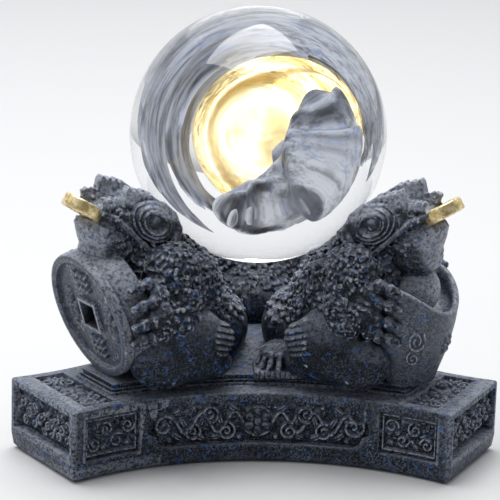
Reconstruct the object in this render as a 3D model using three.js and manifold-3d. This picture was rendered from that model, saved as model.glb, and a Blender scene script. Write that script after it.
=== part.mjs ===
// A glass crystal ball on a cast stand. The stand is a three-armed plinth that carries three toads.
// Each toad faces outwards, holds a coin in its mouth and grips a treasure, and the ball rests on
// the three backs.
//
// Millimetres, +Z up. The origin is on the ball's vertical axis, at the surface that the stand
// rests on. The arms point to 90, 210 and 330 degrees, so one concave side faces -Y.
//
// An arm's own frame has x outwards along the arm, y to its left and z up from the ground.

import * as THREE from 'three';
import { mergeVertices } from 'three/addons/utils/BufferGeometryUtils.js';
import Module from 'manifold-3d';

const wasm = await Module();
wasm.setup();

// ---------------------------------------------------------------- driving dimensions

const GAP = 0.3; // clearance between pieces that touch

const BALL_DIAMETER = 80;
const SEAT_RADIUS = 28; // from the axis to where the ball bears on a back
const SEAT_RISE = 41.3; // height of that bearing above the tier

const PLINTH_REACH = 76.7; // from the axis to the flat end of an arm
const ARM_END_WIDTH = 39;
const PLINTH_WAIST = 35.2; // from the axis to the middle of a concave side
const PLINTH_HEIGHT = 22.4;
const FOOT_INSET = 1.4; // how far the underside's edge is drawn in
const FOOT_BEVEL_HEIGHT = 4.8;

const PAD_THICKNESS = 1;
const PAD_PROUD = 0.3; // how far the pad stands below the plinth
const PAD_INSET = 4;

const TIER_SETBACK = 18.2; // from an arm's end to the tier's end
const TIER_INSET = 7.6; // from a concave side to the tier's side
const TIER_STEP = 1.5; // height and depth of each of the tier's two steps
const HUB_RADIUS = 20; // of the low mound between the toads, at its foot
const HUB_HEIGHT = 6;
const REST_LENGTH = 14.5; // of the block on each side that a small foot stands on
const REST_REACH = 28.8; // from the axis to that block's face
const REST_HEIGHT = 1.7; // above the tier

const RELIEF_SHEET = 1; // thickness of a relief panel behind its pattern
const END_RECESS_DEPTH = 3.6;
const END_PANEL_WIDTH = 34;
const END_PANEL_HEIGHT = 14;
const PANEL_FOOT_MARGIN = 6.4; // from the ground to the lower edge of the panels
const SIDE_RECESS_DEPTH = 2.2;
const SIDE_PANEL_HEIGHT = 13.6;
const SIDE_PANEL_MARGIN = 5; // from a corner to the end of a side panel, along the side
const TOP_RECESS_DEPTH = 1.5;
const TOP_PANEL_MARGIN = 2.3; // land round a panel on top of an arm
const TOP_PANEL_SETBACK = 6; // land between that panel and the arm's end

const MOUTH_COIN_DIAMETER = 13;
const MOUTH_COIN_THICKNESS = 4;
const MOUTH_COIN_HOLE = 2.4;
const MOUTH_COIN_TILT = 33; // degrees

const DRUM_RADIUS = 20.4;
const DRUM_LENGTH = 12;
const DRUM_TILT = 17; // degrees that its face leans outwards
const DRUM_RIM = 2.6;
const DRUM_FIELD_DEPTH = 1.4;
const DRUM_HOLE = 7; // side of the square hole in the face
const DRUM_HOLE_BORDER = 1.6;
const DRUM_FACE_REACH = 60.5; // from the axis to the middle of the face

const INGOT_REACH = 54.5; // from the axis to the ingot's middle
const INGOT_HALF_LENGTH = 17.5; // across the arm
const INGOT_HALF_DEPTH = 13.5; // along the arm
const INGOT_HEIGHT = 22.5; // to the low middle of the rim
const INGOT_HORN_RISE = 9.5; // how much higher its two ends are
const INGOT_WALL = 2.2;
const PEARL_RADIUS = 8.4;

const STACK_COIN_DIAMETER = 32;
const STACK_COIN_THICKNESS = 6;
const STACK_COIN_COUNT = 4;
const STACK_REACH = 54;
const STACK_SHIFT = 1.2; // how far each coin in the stack is out of line

// ---------------------------------------------------------------- sizes that follow from them

const ARMS = [
  { name: 'rear', azimuth: 90 },
  { name: 'left', azimuth: 210 },
  { name: 'right', azimuth: 330 },
];
const SIDES = [
  { name: 'front', azimuth: 270 },
  { name: 'right', azimuth: 30 },
  { name: 'left', azimuth: 150 },
];

const BALL_RADIUS = BALL_DIAMETER / 2;
const PLINTH_TOP = PAD_PROUD + PLINTH_HEIGHT;
const TIER_BASE = PLINTH_TOP + GAP;
const TIER_TOP = PLINTH_TOP + 2 * TIER_STEP;
const BALL_CENTRE = TIER_TOP + SEAT_RISE + Math.sqrt(BALL_RADIUS ** 2 - SEAT_RADIUS ** 2);

// One concave side is an arc through the corners of two arms and its own waist.
const SIXTY = Math.PI / 3;
const CORNER_ALONG = PLINTH_REACH * Math.sin(SIXTY) - (ARM_END_WIDTH / 2) * Math.cos(SIXTY);
const CORNER_OUT = PLINTH_REACH * Math.cos(SIXTY) + (ARM_END_WIDTH / 2) * Math.sin(SIXTY);
const SAG = CORNER_OUT - PLINTH_WAIST;
const ARC_RADIUS = (CORNER_ALONG ** 2 + SAG ** 2) / (2 * SAG);
const ARC_CENTRE = PLINTH_WAIST + ARC_RADIUS; // from the axis

const radians = THREE.MathUtils.degToRad;

// Half the stand's width across an arm, at a distance from the axis, with its sides drawn in.
function armHalfWidth(reach, inset) {
  const radius = ARC_RADIUS + inset;
  const rise = Math.sqrt(radius ** 2 - (reach - ARC_CENTRE * Math.cos(SIXTY)) ** 2);
  return ARC_CENTRE * Math.sin(SIXTY) - rise;
}

// ---------------------------------------------------------------- materials

function material(color, roughness, metalness) {
  return new THREE.MeshStandardMaterial({ color, roughness, metalness });
}

const RESIN = material(0x1d2836, 0.5, 0);
const RESIN_PALE = material(0x5d6b80, 0.55, 0);
const GOLD = material(0xc9a24a, 0.35, 0.9);
const GLASS = material(0xf4f7fa, 0.02, 0);
const FELT = material(0x15181c, 0.95, 0);

// ---------------------------------------------------------------- solids

function toSolid(geometry) {
  const bare = geometry.index ? geometry.clone() : geometry;
  bare.deleteAttribute('normal');
  bare.deleteAttribute('uv');
  const welded = mergeVertices(bare, 1e-4);
  return new wasm.Manifold(new wasm.Mesh({
    numProp: 3,
    vertProperties: new Float32Array(welded.attributes.position.array),
    triVerts: new Uint32Array(welded.index.array),
  }));
}

function toGeometry(solid) {
  const mesh = solid.getMesh();
  const geometry = new THREE.BufferGeometry();
  geometry.setAttribute('position', new THREE.BufferAttribute(mesh.vertProperties, 3));
  geometry.setIndex(new THREE.BufferAttribute(mesh.triVerts, 1));
  return geometry;
}

function join(solids) {
  return solids.reduce((whole, solid) => whole.add(solid));
}

function cut(solid, tools) {
  return tools.reduce((rest, tool) => rest.subtract(tool), solid);
}

function namedMesh(name, solid, finish) {
  const mesh = new THREE.Mesh(toGeometry(solid), finish);
  mesh.name = name;
  return mesh;
}

function sphere(centre, radius, segments, rings) {
  const geometry = new THREE.SphereGeometry(radius, segments, rings);
  geometry.rotateX(Math.PI / 2);
  geometry.translate(...centre);
  return toSolid(geometry);
}

// A cylinder or disc whose axis starts along +Z, leans outwards by lean, and is centred on centre.
function disc(centre, radius, length, lean, segments) {
  const geometry = new THREE.CylinderGeometry(radius, radius, length, segments);
  geometry.rotateX(Math.PI / 2);
  geometry.rotateY(lean);
  geometry.translate(...centre);
  return toSolid(geometry);
}

function block(centre, size, lean = 0) {
  const geometry = new THREE.BoxGeometry(...size);
  geometry.rotateY(lean);
  geometry.translate(...centre);
  return toSolid(geometry);
}

function prism(points, low, high) {
  const shape = new THREE.Shape(points.map((p) => new THREE.Vector2(p[0], p[1])));
  const geometry = new THREE.ExtrudeGeometry(shape, { depth: high - low, bevelEnabled: false });
  geometry.translate(0, 0, low);
  return toSolid(geometry);
}

// A closed skin over rings of equally many points, listed from the bottom up.
function skinOver(rings) {
  const count = rings[0].length;
  const positions = rings.flat(2);
  const indices = [];
  for (let level = 0; level + 1 < rings.length; level += 1) {
    for (let i = 0; i < count; i += 1) {
      const a = level * count + i;
      const b = level * count + ((i + 1) % count);
      indices.push(a, b, b + count, a, b + count, a + count);
    }
  }
  const ends = [[rings[0], 0, true], [rings[rings.length - 1], (rings.length - 1) * count, false]];
  for (const [ring, first, faceDown] of ends) {
    const outline = ring.map((p) => new THREE.Vector2(p[0], p[1]));
    for (const [a, b, c] of THREE.ShapeUtils.triangulateShape(outline, [])) {
      indices.push(first + a, first + (faceDown ? c : b), first + (faceDown ? b : c));
    }
  }
  const geometry = new THREE.BufferGeometry();
  geometry.setAttribute('position', new THREE.Float32BufferAttribute(positions, 3));
  geometry.setIndex(indices);
  return toSolid(geometry);
}

// ---------------------------------------------------------------- the stand's outline

const ARC_STEPS = 12;

// The outline at one height: ends drawn back by setback and sides drawn in by inset.
function standRing(height, setback, inset) {
  const reach = PLINTH_REACH - setback;
  const halfWidth = armHalfWidth(reach, inset);
  const along = reach * Math.sin(SIXTY) - halfWidth * Math.cos(SIXTY);
  const radius = ARC_RADIUS + inset;
  const halfSpan = Math.asin(along / radius);
  const ring = [];
  for (const side of SIDES) {
    const out = radians(side.azimuth);
    for (let step = 0; step <= ARC_STEPS; step += 1) {
      const angle = halfSpan * ((2 * step) / ARC_STEPS - 1);
      const u = radius * Math.sin(angle);
      const v = ARC_CENTRE - radius * Math.cos(angle);
      ring.push([v * Math.cos(out) - u * Math.sin(out), v * Math.sin(out) + u * Math.cos(out), height]);
    }
  }
  return ring;
}

// A slab of the stand's plan between two heights.
function standSlab(low, high, setback, inset) {
  return skinOver([standRing(low, setback, inset), standRing(high, setback, inset)]);
}

function turned(solid, azimuth) {
  return solid.rotate([0, 0, azimuth]);
}

// ---------------------------------------------------------------- relief panels

const END_PANEL_LOW = PAD_PROUD + PANEL_FOOT_MARGIN + 0.8;
const SIDE_PANEL_LOW = PAD_PROUD + PANEL_FOOT_MARGIN - 0.5;
const SIDE_HALF_SPAN = Math.asin(CORNER_ALONG / ARC_RADIUS) - SIDE_PANEL_MARGIN / ARC_RADIUS;
const TOP_PANEL_INNER = PLINTH_REACH - TIER_SETBACK + TOP_PANEL_MARGIN;
const TOP_PANEL_OUTER = PLINTH_REACH - TOP_PANEL_SETBACK;

// Raised shapes of the relief patterns, on a flat sheet: u across, v up, and how far each stands.
const ROSETTE_PETALS = 5;

function rosette(u, v, size) {
  const shapes = [{ u, v, across: 0.38 * size, up: 0.38 * size, out: 1 }];
  for (let i = 0; i < ROSETTE_PETALS; i += 1) {
    const angle = Math.PI / 2 + (i * 2 * Math.PI) / ROSETTE_PETALS;
    shapes.push({
      u: u + 0.66 * size * Math.cos(angle),
      v: v + 0.66 * size * Math.sin(angle),
      across: 0.36 * size,
      up: 0.36 * size,
      out: 0.7,
    });
  }
  return shapes;
}

function cloud(u, v, size, hand) {
  return [
    { u, v, across: 0.6 * size, up: 0.5 * size, out: 0.8 },
    { u: u + hand * 0.8 * size, v: v - 0.3 * size, across: 0.45 * size, up: 0.35 * size, out: 0.6 },
    { u: u - hand * 0.7 * size, v: v + 0.3 * size, across: 0.42 * size, up: 0.35 * size, out: 0.55 },
  ];
}

// Each raised shape is a low dome sunk in the sheet. place(u, v) gives its frame on the sheet.
function domes(shapes, stand, place) {
  return shapes.map(({ u, v, across, up, out }) => {
    const geometry = new THREE.SphereGeometry(1, 6, 4);
    geometry.scale(out * stand, across, up);
    geometry.applyMatrix4(place(u, v));
    return toSolid(geometry);
  });
}

function endRecess() {
  const middle = END_PANEL_LOW + END_PANEL_HEIGHT / 2;
  const size = [2 * END_RECESS_DEPTH, END_PANEL_WIDTH, END_PANEL_HEIGHT];
  return block([PLINTH_REACH, 0, middle], size);
}

function endPanel() {
  const back = PLINTH_REACH - END_RECESS_DEPTH + GAP;
  const middle = END_PANEL_LOW + END_PANEL_HEIGHT / 2;
  const width = END_PANEL_WIDTH - 2 * GAP;
  const height = END_PANEL_HEIGHT - 2 * GAP;
  const sheet = block([back + RELIEF_SHEET / 2, 0, middle], [RELIEF_SHEET, width, height]);
  const face = back + RELIEF_SHEET;
  const pattern = [
    ...rosette(0, middle, 0.42 * height),
    ...cloud(-0.33 * width, middle, 0.28 * height, 1),
    ...cloud(0.33 * width, middle, 0.28 * height, -1),
  ];
  const place = (u, v) => new THREE.Matrix4().makeTranslation(face, u, v);
  const raised = domes(pattern, END_RECESS_DEPTH - RELIEF_SHEET - GAP, place);
  const behind = block([back - RELIEF_SHEET, 0, middle], [2 * RELIEF_SHEET, 2 * width, 2 * height]);
  return join([sheet, ...raised]).subtract(behind);
}

// A curved slab along a concave side, between two depths behind the face, in the side's own frame
// (x outwards).
function sideBand(depthOut, depthIn, low, high, halfSpan, steps = ARC_STEPS) {
  const points = [];
  const arc = (radius, direction) => {
    for (let step = 0; step <= steps; step += 1) {
      const angle = direction * halfSpan * ((2 * step) / steps - 1);
      points.push([ARC_CENTRE - radius * Math.cos(angle), radius * Math.sin(angle)]);
    }
  };
  arc(ARC_RADIUS + depthOut, 1);
  arc(ARC_RADIUS + depthIn, -1);
  return prism(points, low, high);
}

function sideRecess() {
  const high = SIDE_PANEL_LOW + SIDE_PANEL_HEIGHT;
  return sideBand(-SIDE_RECESS_DEPTH, SIDE_RECESS_DEPTH, SIDE_PANEL_LOW, high, SIDE_HALF_SPAN);
}

const SIDE_MIDDLE_SHARE = 0.57; // share of the side that the middle field takes
const DIVIDER_HALF_ANGLE = 1 / ARC_RADIUS;

function sidePanel() {
  const low = SIDE_PANEL_LOW + GAP;
  const high = SIDE_PANEL_LOW + SIDE_PANEL_HEIGHT - GAP;
  const middle = (low + high) / 2;
  const height = high - low;
  const halfSpan = SIDE_HALF_SPAN - GAP / ARC_RADIUS;
  const back = SIDE_RECESS_DEPTH - GAP;
  const front = back - RELIEF_SHEET;
  const sheet = sideBand(front, back, low, high, halfSpan);
  const dividerAngle = SIDE_HALF_SPAN * SIDE_MIDDLE_SHARE;
  const divider = sideBand(GAP, back - RELIEF_SHEET / 2, low, high, DIVIDER_HALF_ANGLE, 2);
  const swing = (solid, angle) => solid.translate([-ARC_CENTRE, 0, 0])
    .rotate([0, 0, -THREE.MathUtils.radToDeg(angle)]).translate([ARC_CENTRE, 0, 0]);
  const middleHalf = dividerAngle * ARC_RADIUS;
  const cloudSize = 0.34 * height;
  const pattern = [
    ...rosette(0, middle, 0.42 * height),
    ...cloud(-0.4 * middleHalf, middle, cloudSize, 1),
    ...cloud(0.4 * middleHalf, middle, cloudSize, -1),
    ...cloud(-0.78 * middleHalf, middle, cloudSize, -1),
    ...cloud(0.78 * middleHalf, middle, cloudSize, 1),
  ];
  const place = (u, v) => {
    const angle = u / ARC_RADIUS;
    const radius = ARC_RADIUS + front;
    const turn = new THREE.Matrix4().makeRotationZ(-angle);
    const x = ARC_CENTRE - radius * Math.cos(angle);
    return turn.setPosition(x, radius * Math.sin(angle), v);
  };
  const raised = domes(pattern, front - GAP, place);
  return join([sheet, swing(divider, dividerAngle), swing(divider, -dividerAngle), ...raised]);
}

function topOutline(margin) {
  const inner = TOP_PANEL_INNER + margin;
  const outer = TOP_PANEL_OUTER - margin;
  const innerHalf = armHalfWidth(inner, 0) - TOP_PANEL_MARGIN - margin;
  const outerHalf = armHalfWidth(outer, 0) - TOP_PANEL_MARGIN - margin;
  return [[inner, -innerHalf], [outer, -outerHalf], [outer, outerHalf], [inner, innerHalf]];
}

function topRecess() {
  return prism(topOutline(0), PLINTH_TOP - TOP_RECESS_DEPTH, PLINTH_TOP + TOP_RECESS_DEPTH);
}

function topPanel() {
  const low = PLINTH_TOP - TOP_RECESS_DEPTH + GAP;
  const sheet = prism(topOutline(GAP), low, low + RELIEF_SHEET);
  const middle = (TOP_PANEL_INNER + TOP_PANEL_OUTER) / 2;
  const reach = (TOP_PANEL_OUTER - TOP_PANEL_INNER) / 2 - GAP;
  const pattern = [
    ...rosette(0, middle, 0.62 * reach),
    { u: -1.35 * reach, v: middle + 0.3 * reach, across: 0.4 * reach, up: 0.5 * reach, out: 0.7 },
    { u: 1.35 * reach, v: middle + 0.3 * reach, across: 0.4 * reach, up: 0.5 * reach, out: 0.7 },
  ];
  // The sheet lies flat: u runs across the arm, v along it, and shapes stand upwards.
  const place = (u, v) => new THREE.Matrix4().set(
    0, 0, 1, v,
    0, 1, 0, u,
    -1, 0, 0, low + RELIEF_SHEET,
    0, 0, 0, 1,
  );
  return join([sheet, ...domes(pattern, 2 * GAP, place)]);
}

// ---------------------------------------------------------------- plinth, tier, pad and ball

function plinth() {
  const body = skinOver([
    standRing(PAD_PROUD, FOOT_INSET, FOOT_INSET),
    standRing(PAD_PROUD + FOOT_BEVEL_HEIGHT / 4, FOOT_INSET / 3, FOOT_INSET / 3),
    standRing(PAD_PROUD + FOOT_BEVEL_HEIGHT, 0, 0),
    standRing(PLINTH_TOP, 0, 0),
  ]);
  const padSeat = standSlab(0, PAD_THICKNESS + GAP, PAD_INSET - GAP, PAD_INSET - GAP);
  const arms = ARMS.flatMap((arm) => [
    turned(endRecess(), arm.azimuth),
    turned(topRecess(), arm.azimuth),
  ]);
  const sides = SIDES.map((side) => turned(sideRecess(), side.azimuth));
  return cut(body, [padSeat, ...arms, ...sides]);
}

// The mound in the middle of the tier and the three blocks on it, grown by extra.
const HUB_TOP_SHARE = 0.45; // radius of the mound's top, as a share of its foot's
const REST_DEPTH = 12.8;
const REST_ASIDE = 6.25; // from the middle of a side to the middle of its block

function tierMounds(extra) {
  const height = HUB_HEIGHT + TIER_STEP + extra;
  const low = TIER_TOP - TIER_STEP;
  const radius = HUB_RADIUS + extra;
  const hub = new THREE.CylinderGeometry(HUB_TOP_SHARE * radius, radius, height, 24);
  hub.rotateX(Math.PI / 2);
  hub.translate(0, 0, low + height / 2);
  const top = TIER_TOP + REST_HEIGHT + extra;
  const middle = [REST_REACH - REST_DEPTH / 2, REST_ASIDE, (TIER_BASE + top) / 2];
  const size = [REST_DEPTH + 2 * extra, REST_LENGTH + 2 * extra, top - TIER_BASE];
  return join([toSolid(hub), ...SIDES.map((side) => turned(block(middle, size), side.azimuth))]);
}

function upperTier() {
  const middle = PLINTH_TOP + TIER_STEP;
  const step = TIER_STEP;
  return skinOver([
    standRing(TIER_BASE, TIER_SETBACK, TIER_INSET),
    standRing(middle, TIER_SETBACK, TIER_INSET),
    standRing(middle + GAP / 3, TIER_SETBACK + step, TIER_INSET + step),
    standRing(TIER_TOP, TIER_SETBACK + step, TIER_INSET + step),
  ]).add(tierMounds(0));
}

function ball(extra) {
  return sphere([0, 0, BALL_CENTRE], BALL_RADIUS + extra, 32, 18);
}

// ---------------------------------------------------------------- treasures, in an arm's frame

const SOLE = TIER_TOP + GAP; // lowest level of what stands on the tier
const DRUM_LEAN = radians(90 + DRUM_TILT);
const DRUM_AXIS = new THREE.Vector3(Math.sin(DRUM_LEAN), 0, Math.cos(DRUM_LEAN));
const DRUM_FACE = new THREE.Vector3(
  DRUM_FACE_REACH,
  0,
  SOLE + DRUM_RADIUS * Math.cos(radians(DRUM_TILT)),
);

function alongDrum(distance) {
  return DRUM_FACE.clone().addScaledVector(DRUM_AXIS, distance);
}

function coinDrum() {
  const body = disc(alongDrum(-DRUM_LENGTH / 2), DRUM_RADIUS, DRUM_LENGTH, DRUM_LEAN, 32);
  const field = disc(alongDrum(0), DRUM_RADIUS - DRUM_RIM, 2 * DRUM_FIELD_DEPTH, DRUM_LEAN, 32);
  const borderSize = DRUM_HOLE + 2 * DRUM_HOLE_BORDER;
  const square = (side, deep, at) => block(alongDrum(at), [side, side, deep], DRUM_LEAN);
  const border = square(borderSize, DRUM_FIELD_DEPTH + 1, -(DRUM_FIELD_DEPTH + 1) / 2);
  const hole = square(DRUM_HOLE, 4 * DRUM_FIELD_DEPTH, 0);
  const knobRing = (DRUM_RADIUS - DRUM_RIM + borderSize / 2) / 2;
  const up = new THREE.Vector3(Math.cos(DRUM_LEAN), 0, -Math.sin(DRUM_LEAN));
  const knobs = [0, 1, 2, 3].map((quarter) => {
    const angle = (quarter * Math.PI) / 2;
    const at = alongDrum(-DRUM_FIELD_DEPTH).addScaledVector(up, knobRing * Math.cos(angle));
    at.y = knobRing * Math.sin(angle);
    return sphere(at, DRUM_FIELD_DEPTH, 8, 6);
  });
  return join([body.subtract(field), border, ...knobs]).subtract(hole);
}

// Half the drum's width at a height, where the toad's fingers lie.
function drumHalfWidth(height) {
  const fromAxis = Math.min(Math.abs(height - alongDrum(-DRUM_LENGTH / 3).z), 0.9 * DRUM_RADIUS);
  return Math.sqrt(DRUM_RADIUS ** 2 - fromAxis ** 2);
}

const INGOT_STEPS = 24;
// Share of the rim's size at shares of the height.
const INGOT_PROFILE = [[0, 0.56], [0.12, 0.62], [0.5, 0.84], [0.8, 0.95], [1, 1]];

function ingotRing(share, size, extra) {
  const ring = [];
  for (let step = 0; step < INGOT_STEPS; step += 1) {
    const angle = (2 * Math.PI * step) / INGOT_STEPS;
    const horn = INGOT_HORN_RISE * share ** 6 * Math.sin(angle) ** 2;
    ring.push([
      INGOT_REACH + (INGOT_HALF_DEPTH * size + extra) * Math.cos(angle),
      (INGOT_HALF_LENGTH * size + extra) * Math.sin(angle),
      SOLE + INGOT_HEIGHT * share + horn + extra,
    ]);
  }
  return ring;
}

function ingotBody(extra) {
  const rings = INGOT_PROFILE.map(([share, size]) => ingotRing(share, size, extra));
  return skinOver(rings);
}

const BOWL_FLOOR_SHARE = 0.85;
const BOWL_FLOOR_SIZE = 0.6; // of the bowl's floor, as a share of the rim
const BOWL_FLOOR = SOLE + BOWL_FLOOR_SHARE * INGOT_HEIGHT;
const ABOVE_RIM = 1.3; // share of the height that the bowl's cutter reaches to

function ingot() {
  const inner = 1 - INGOT_WALL / INGOT_HALF_DEPTH;
  const hollow = skinOver([
    ingotRing(BOWL_FLOOR_SHARE, BOWL_FLOOR_SIZE, 0),
    ingotRing(1, inner, 0),
    ingotRing(ABOVE_RIM, inner, 0),
  ]);
  return cut(ingotBody(0), [hollow, pearl(GAP)]);
}

function ingotHalfWidth(height) {
  const share = THREE.MathUtils.clamp((height - SOLE) / INGOT_HEIGHT, 0, 1);
  return INGOT_HALF_LENGTH * THREE.MathUtils.lerp(0.7, 0.93, share);
}

const PEARL_CENTRE = BOWL_FLOOR + PEARL_RADIUS + 2 * GAP;

function pearl(extra) {
  return sphere([INGOT_REACH, 0, PEARL_CENTRE], PEARL_RADIUS + extra, 16, 10);
}

const STACK_PITCH = STACK_COIN_THICKNESS + GAP;

function stackCoinCentre(level) {
  const aside = STACK_SHIFT * (level % 2 === 0 ? 1 : -1);
  return [STACK_REACH, aside, SOLE + STACK_PITCH * level + STACK_COIN_THICKNESS / 2];
}

function stackCoin(level, extra) {
  const radius = STACK_COIN_DIAMETER / 2 + extra;
  return disc(stackCoinCentre(level), radius, STACK_COIN_THICKNESS + 2 * extra, 0, 28);
}

function stackHalfWidth() {
  return STACK_COIN_DIAMETER / 2 - STACK_SHIFT;
}

// Pieces of each treasure, the space that the toad leaves for it, and how wide it is for the grip.
const TREASURES = {
  left: {
    pieces: [['coin_drum', coinDrum(), RESIN]],
    room: disc(alongDrum(-DRUM_LENGTH / 2), DRUM_RADIUS + GAP, DRUM_LENGTH + 2 * GAP, DRUM_LEAN, 32),
    halfWidth: drumHalfWidth,
  },
  right: {
    pieces: [['ingot', ingot(), RESIN], ['ingot_pearl', pearl(0), RESIN_PALE]],
    room: ingotBody(GAP).add(pearl(GAP)),
    halfWidth: ingotHalfWidth,
  },
  rear: {
    pieces: Array.from({ length: STACK_COIN_COUNT }, (_, level) => (
      [`stack_coin_${level + 1}`, stackCoin(level, 0), RESIN]
    )),
    room: join(Array.from({ length: STACK_COIN_COUNT }, (_, level) => stackCoin(level, GAP))),
    halfWidth: stackHalfWidth,
  },
};

// ---------------------------------------------------------------- a toad, in an arm's frame

// A toad is modelled as overlapping masses and limbs. Heights here are above the tier.

// An ellipsoid: centre, half axes (long, wide, thick), and pitch of its long axis in degrees.
function mass(centre, halfAxes, pitch = 0, facets = [8, 6]) {
  return (extra) => {
    const geometry = new THREE.SphereGeometry(1, ...facets);
    geometry.rotateX(Math.PI / 2);
    geometry.scale(...halfAxes.map((half) => half + extra));
    geometry.rotateY(-radians(pitch));
    geometry.translate(centre[0], centre[1], TIER_TOP + centre[2]);
    return toSolid(geometry);
  };
}

const COARSE = [6, 5];

// A limb with round ends between two points.
function limb(from, to, radius, sides = 6) {
  return (extra) => {
    const start = new THREE.Vector3(...from);
    const way = new THREE.Vector3(...to).sub(start);
    const geometry = new THREE.CapsuleGeometry(radius + extra, way.length(), 1, sides);
    const upright = new THREE.Vector3(0, 1, 0);
    const turn = new THREE.Quaternion().setFromUnitVectors(upright, way.clone().normalize());
    geometry.applyQuaternion(turn);
    const middle = start.addScaledVector(way, 0.5);
    geometry.translate(middle.x, middle.y, TIER_TOP + middle.z);
    return toSolid(geometry);
  };
}

const FINGER_RADIUS = 2;
const FINGER_REACH = 57.5; // from the axis to the fingertips
const FINGER_HEIGHTS = [17, 22.6, 28.2, 33.4];
const PALM = { x: 48, height: 25.2, radius: 3 };

function foreleg(hand, halfWidth) {
  const grip = (x, height) => {
    const aside = halfWidth(TIER_TOP + height) + GAP + FINGER_RADIUS;
    return [x, hand * aside, height];
  };
  const lowest = FINGER_HEIGHTS[0];
  const highest = FINGER_HEIGHTS[FINGER_HEIGHTS.length - 1];
  const elbow = [41, hand * 19, 21];
  const fingers = FINGER_HEIGHTS.map((height) => {
    const knuckle = grip(PALM.x + 1, THREE.MathUtils.lerp(PALM.height, height, 0.8));
    return limb(knuckle, grip(FINGER_REACH - FINGER_RADIUS, height), FINGER_RADIUS, 5);
  });
  return [
    mass([40, hand * 14.5, 33], [9, 7.5, 11]),
    limb([40, hand * 16, 33], elbow, 5.5),
    limb(elbow, grip(PALM.x, PALM.height), 4.5),
    limb(grip(PALM.x, lowest + PALM.radius), grip(PALM.x, highest - PALM.radius), PALM.radius),
    ...fingers,
  ];
}

function hindleg(hand) {
  return [
    mass([33, hand * 17.5, 10.5], [11.5, 8, 11.5], 10),
    mass([25.5, hand * 18.5, 13.2], [5, 4.5, 6]),
    mass([42.5, hand * 16, 6.5], [13, 6.5, 9.5], 6),
  ];
}

// The small third foot, on its block beside the right haunch.
const THIRD_FOOT = [
  mass([15, -14, 4.6], [5.5, 5.5, 3.6]),
  limb([28, -17, 8], [16, -15, 5], 3.2),
  limb([13.2, -14, 4.6], [14.8, -19.4, 3.2], 1.3, 5),
  limb([16, -15, 4.6], [17.4, -20.4, 3.2], 1.3, 5),
  limb([18.6, -15.6, 4.6], [20.2, -20.8, 3.2], 1.3, 5),
];

const HEAD = [
  mass([47, 0, 48.3], [13, 12, 7.5], 40),
  mass([54, 0, 53], [5.5, 7.5, 4], 30, COARSE),
  mass([44.8, 9, 50.8], [6.2, 4.5, 5.6], 30, COARSE),
  mass([44.8, -9, 50.8], [6.2, 4.5, 5.6], 30, COARSE),
  mass([47.5, 6.2, 56], [5.5, 2.8, 3], 10, COARSE),
  mass([47.5, -6.2, 56], [5.5, 2.8, 3], 10, COARSE),
];
const CROWN_VALLEY = limb([36, 0, 60.2], [68, 0, 56.2], 4.2); // between the brows
const LOWER_JAW = [
  mass([54, 0, 43.2], [11, 9.6, 5.2], 38),
  mass([53, 0, 38.5], [8.5, 9.5, 8]),
];
const BODY = [
  mass([34, 0, 24], [26, 18, 17], 54, [10, 8]),
  mass([43, 0, 33], [10, 15, 11]),
  mass([38.5, 0, 42.5], [8.5, 11.5, 7]),
  mass([18, 0, 11], [13, 14.5, 12.5]),
];

const MOUTH_COIN_CENTRE = [63, 0, TIER_TOP + 54.3];

function mouthCoin(extra) {
  const lean = -radians(MOUTH_COIN_TILT);
  const thickness = MOUTH_COIN_THICKNESS + 2 * extra;
  return disc(MOUTH_COIN_CENTRE, MOUTH_COIN_DIAMETER / 2 + extra, thickness, lean, 24);
}

function mouthCoinHole() {
  const size = [MOUTH_COIN_HOLE, MOUTH_COIN_HOLE, 2 * MOUTH_COIN_THICKNESS];
  return block(MOUTH_COIN_CENTRE, size, -radians(MOUTH_COIN_TILT));
}

// The third of the stand above the tier that belongs to one arm.
function armRoom() {
  const apex = GAP / 2 / Math.sin(SIXTY);
  const far = 2 * PLINTH_REACH;
  const x = apex + far * Math.cos(SIXTY);
  const y = far * Math.sin(SIXTY);
  const ceiling = BALL_CENTRE + BALL_RADIUS;
  return prism([[apex, 0], [x, -y], [far, -y], [far, y], [x, y]], SOLE, ceiling);
}

function toad(armName, azimuth) {
  const { room, halfWidth } = TREASURES[armName];
  const taken = [ball(GAP), room, mouthCoin(GAP), tierMounds(GAP).rotate([0, 0, -azimuth])];
  const place = armRoom();
  const anatomy = [
    ['body', BODY],
    ['head', HEAD],
    ['lower_jaw', LOWER_JAW],
    ['foreleg_left', foreleg(1, halfWidth)],
    ['foreleg_right', foreleg(-1, halfWidth)],
    ['hindleg_left', hindleg(1)],
    ['hindleg_right', [...hindleg(-1), ...THIRD_FOOT]],
  ];
  return anatomy.map(([part, forms]) => {
    const whole = join(forms.map((form) => form(0)));
    const carved = part === 'head' ? [...taken, CROWN_VALLEY(0)] : taken;
    const solid = cut(whole.intersect(place), carved);
    taken.push(...forms.map((form) => form(GAP)));
    return namedMesh(`${armName}_toad_${part}`, solid, RESIN);
  });
}

// ---------------------------------------------------------------- assembly

const object = new THREE.Group();

object.add(namedMesh('crystal_ball', ball(0), GLASS));
object.add(namedMesh('base_pad', standSlab(0, PAD_THICKNESS, PAD_INSET, PAD_INSET), FELT));
object.add(namedMesh('plinth', plinth(), RESIN));
object.add(namedMesh('upper_tier', upperTier(), RESIN));

for (const side of SIDES) {
  const group = new THREE.Group();
  group.rotation.z = radians(side.azimuth);
  group.add(namedMesh(`side_relief_${side.name}`, sidePanel(), RESIN));
  object.add(group);
}

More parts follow.
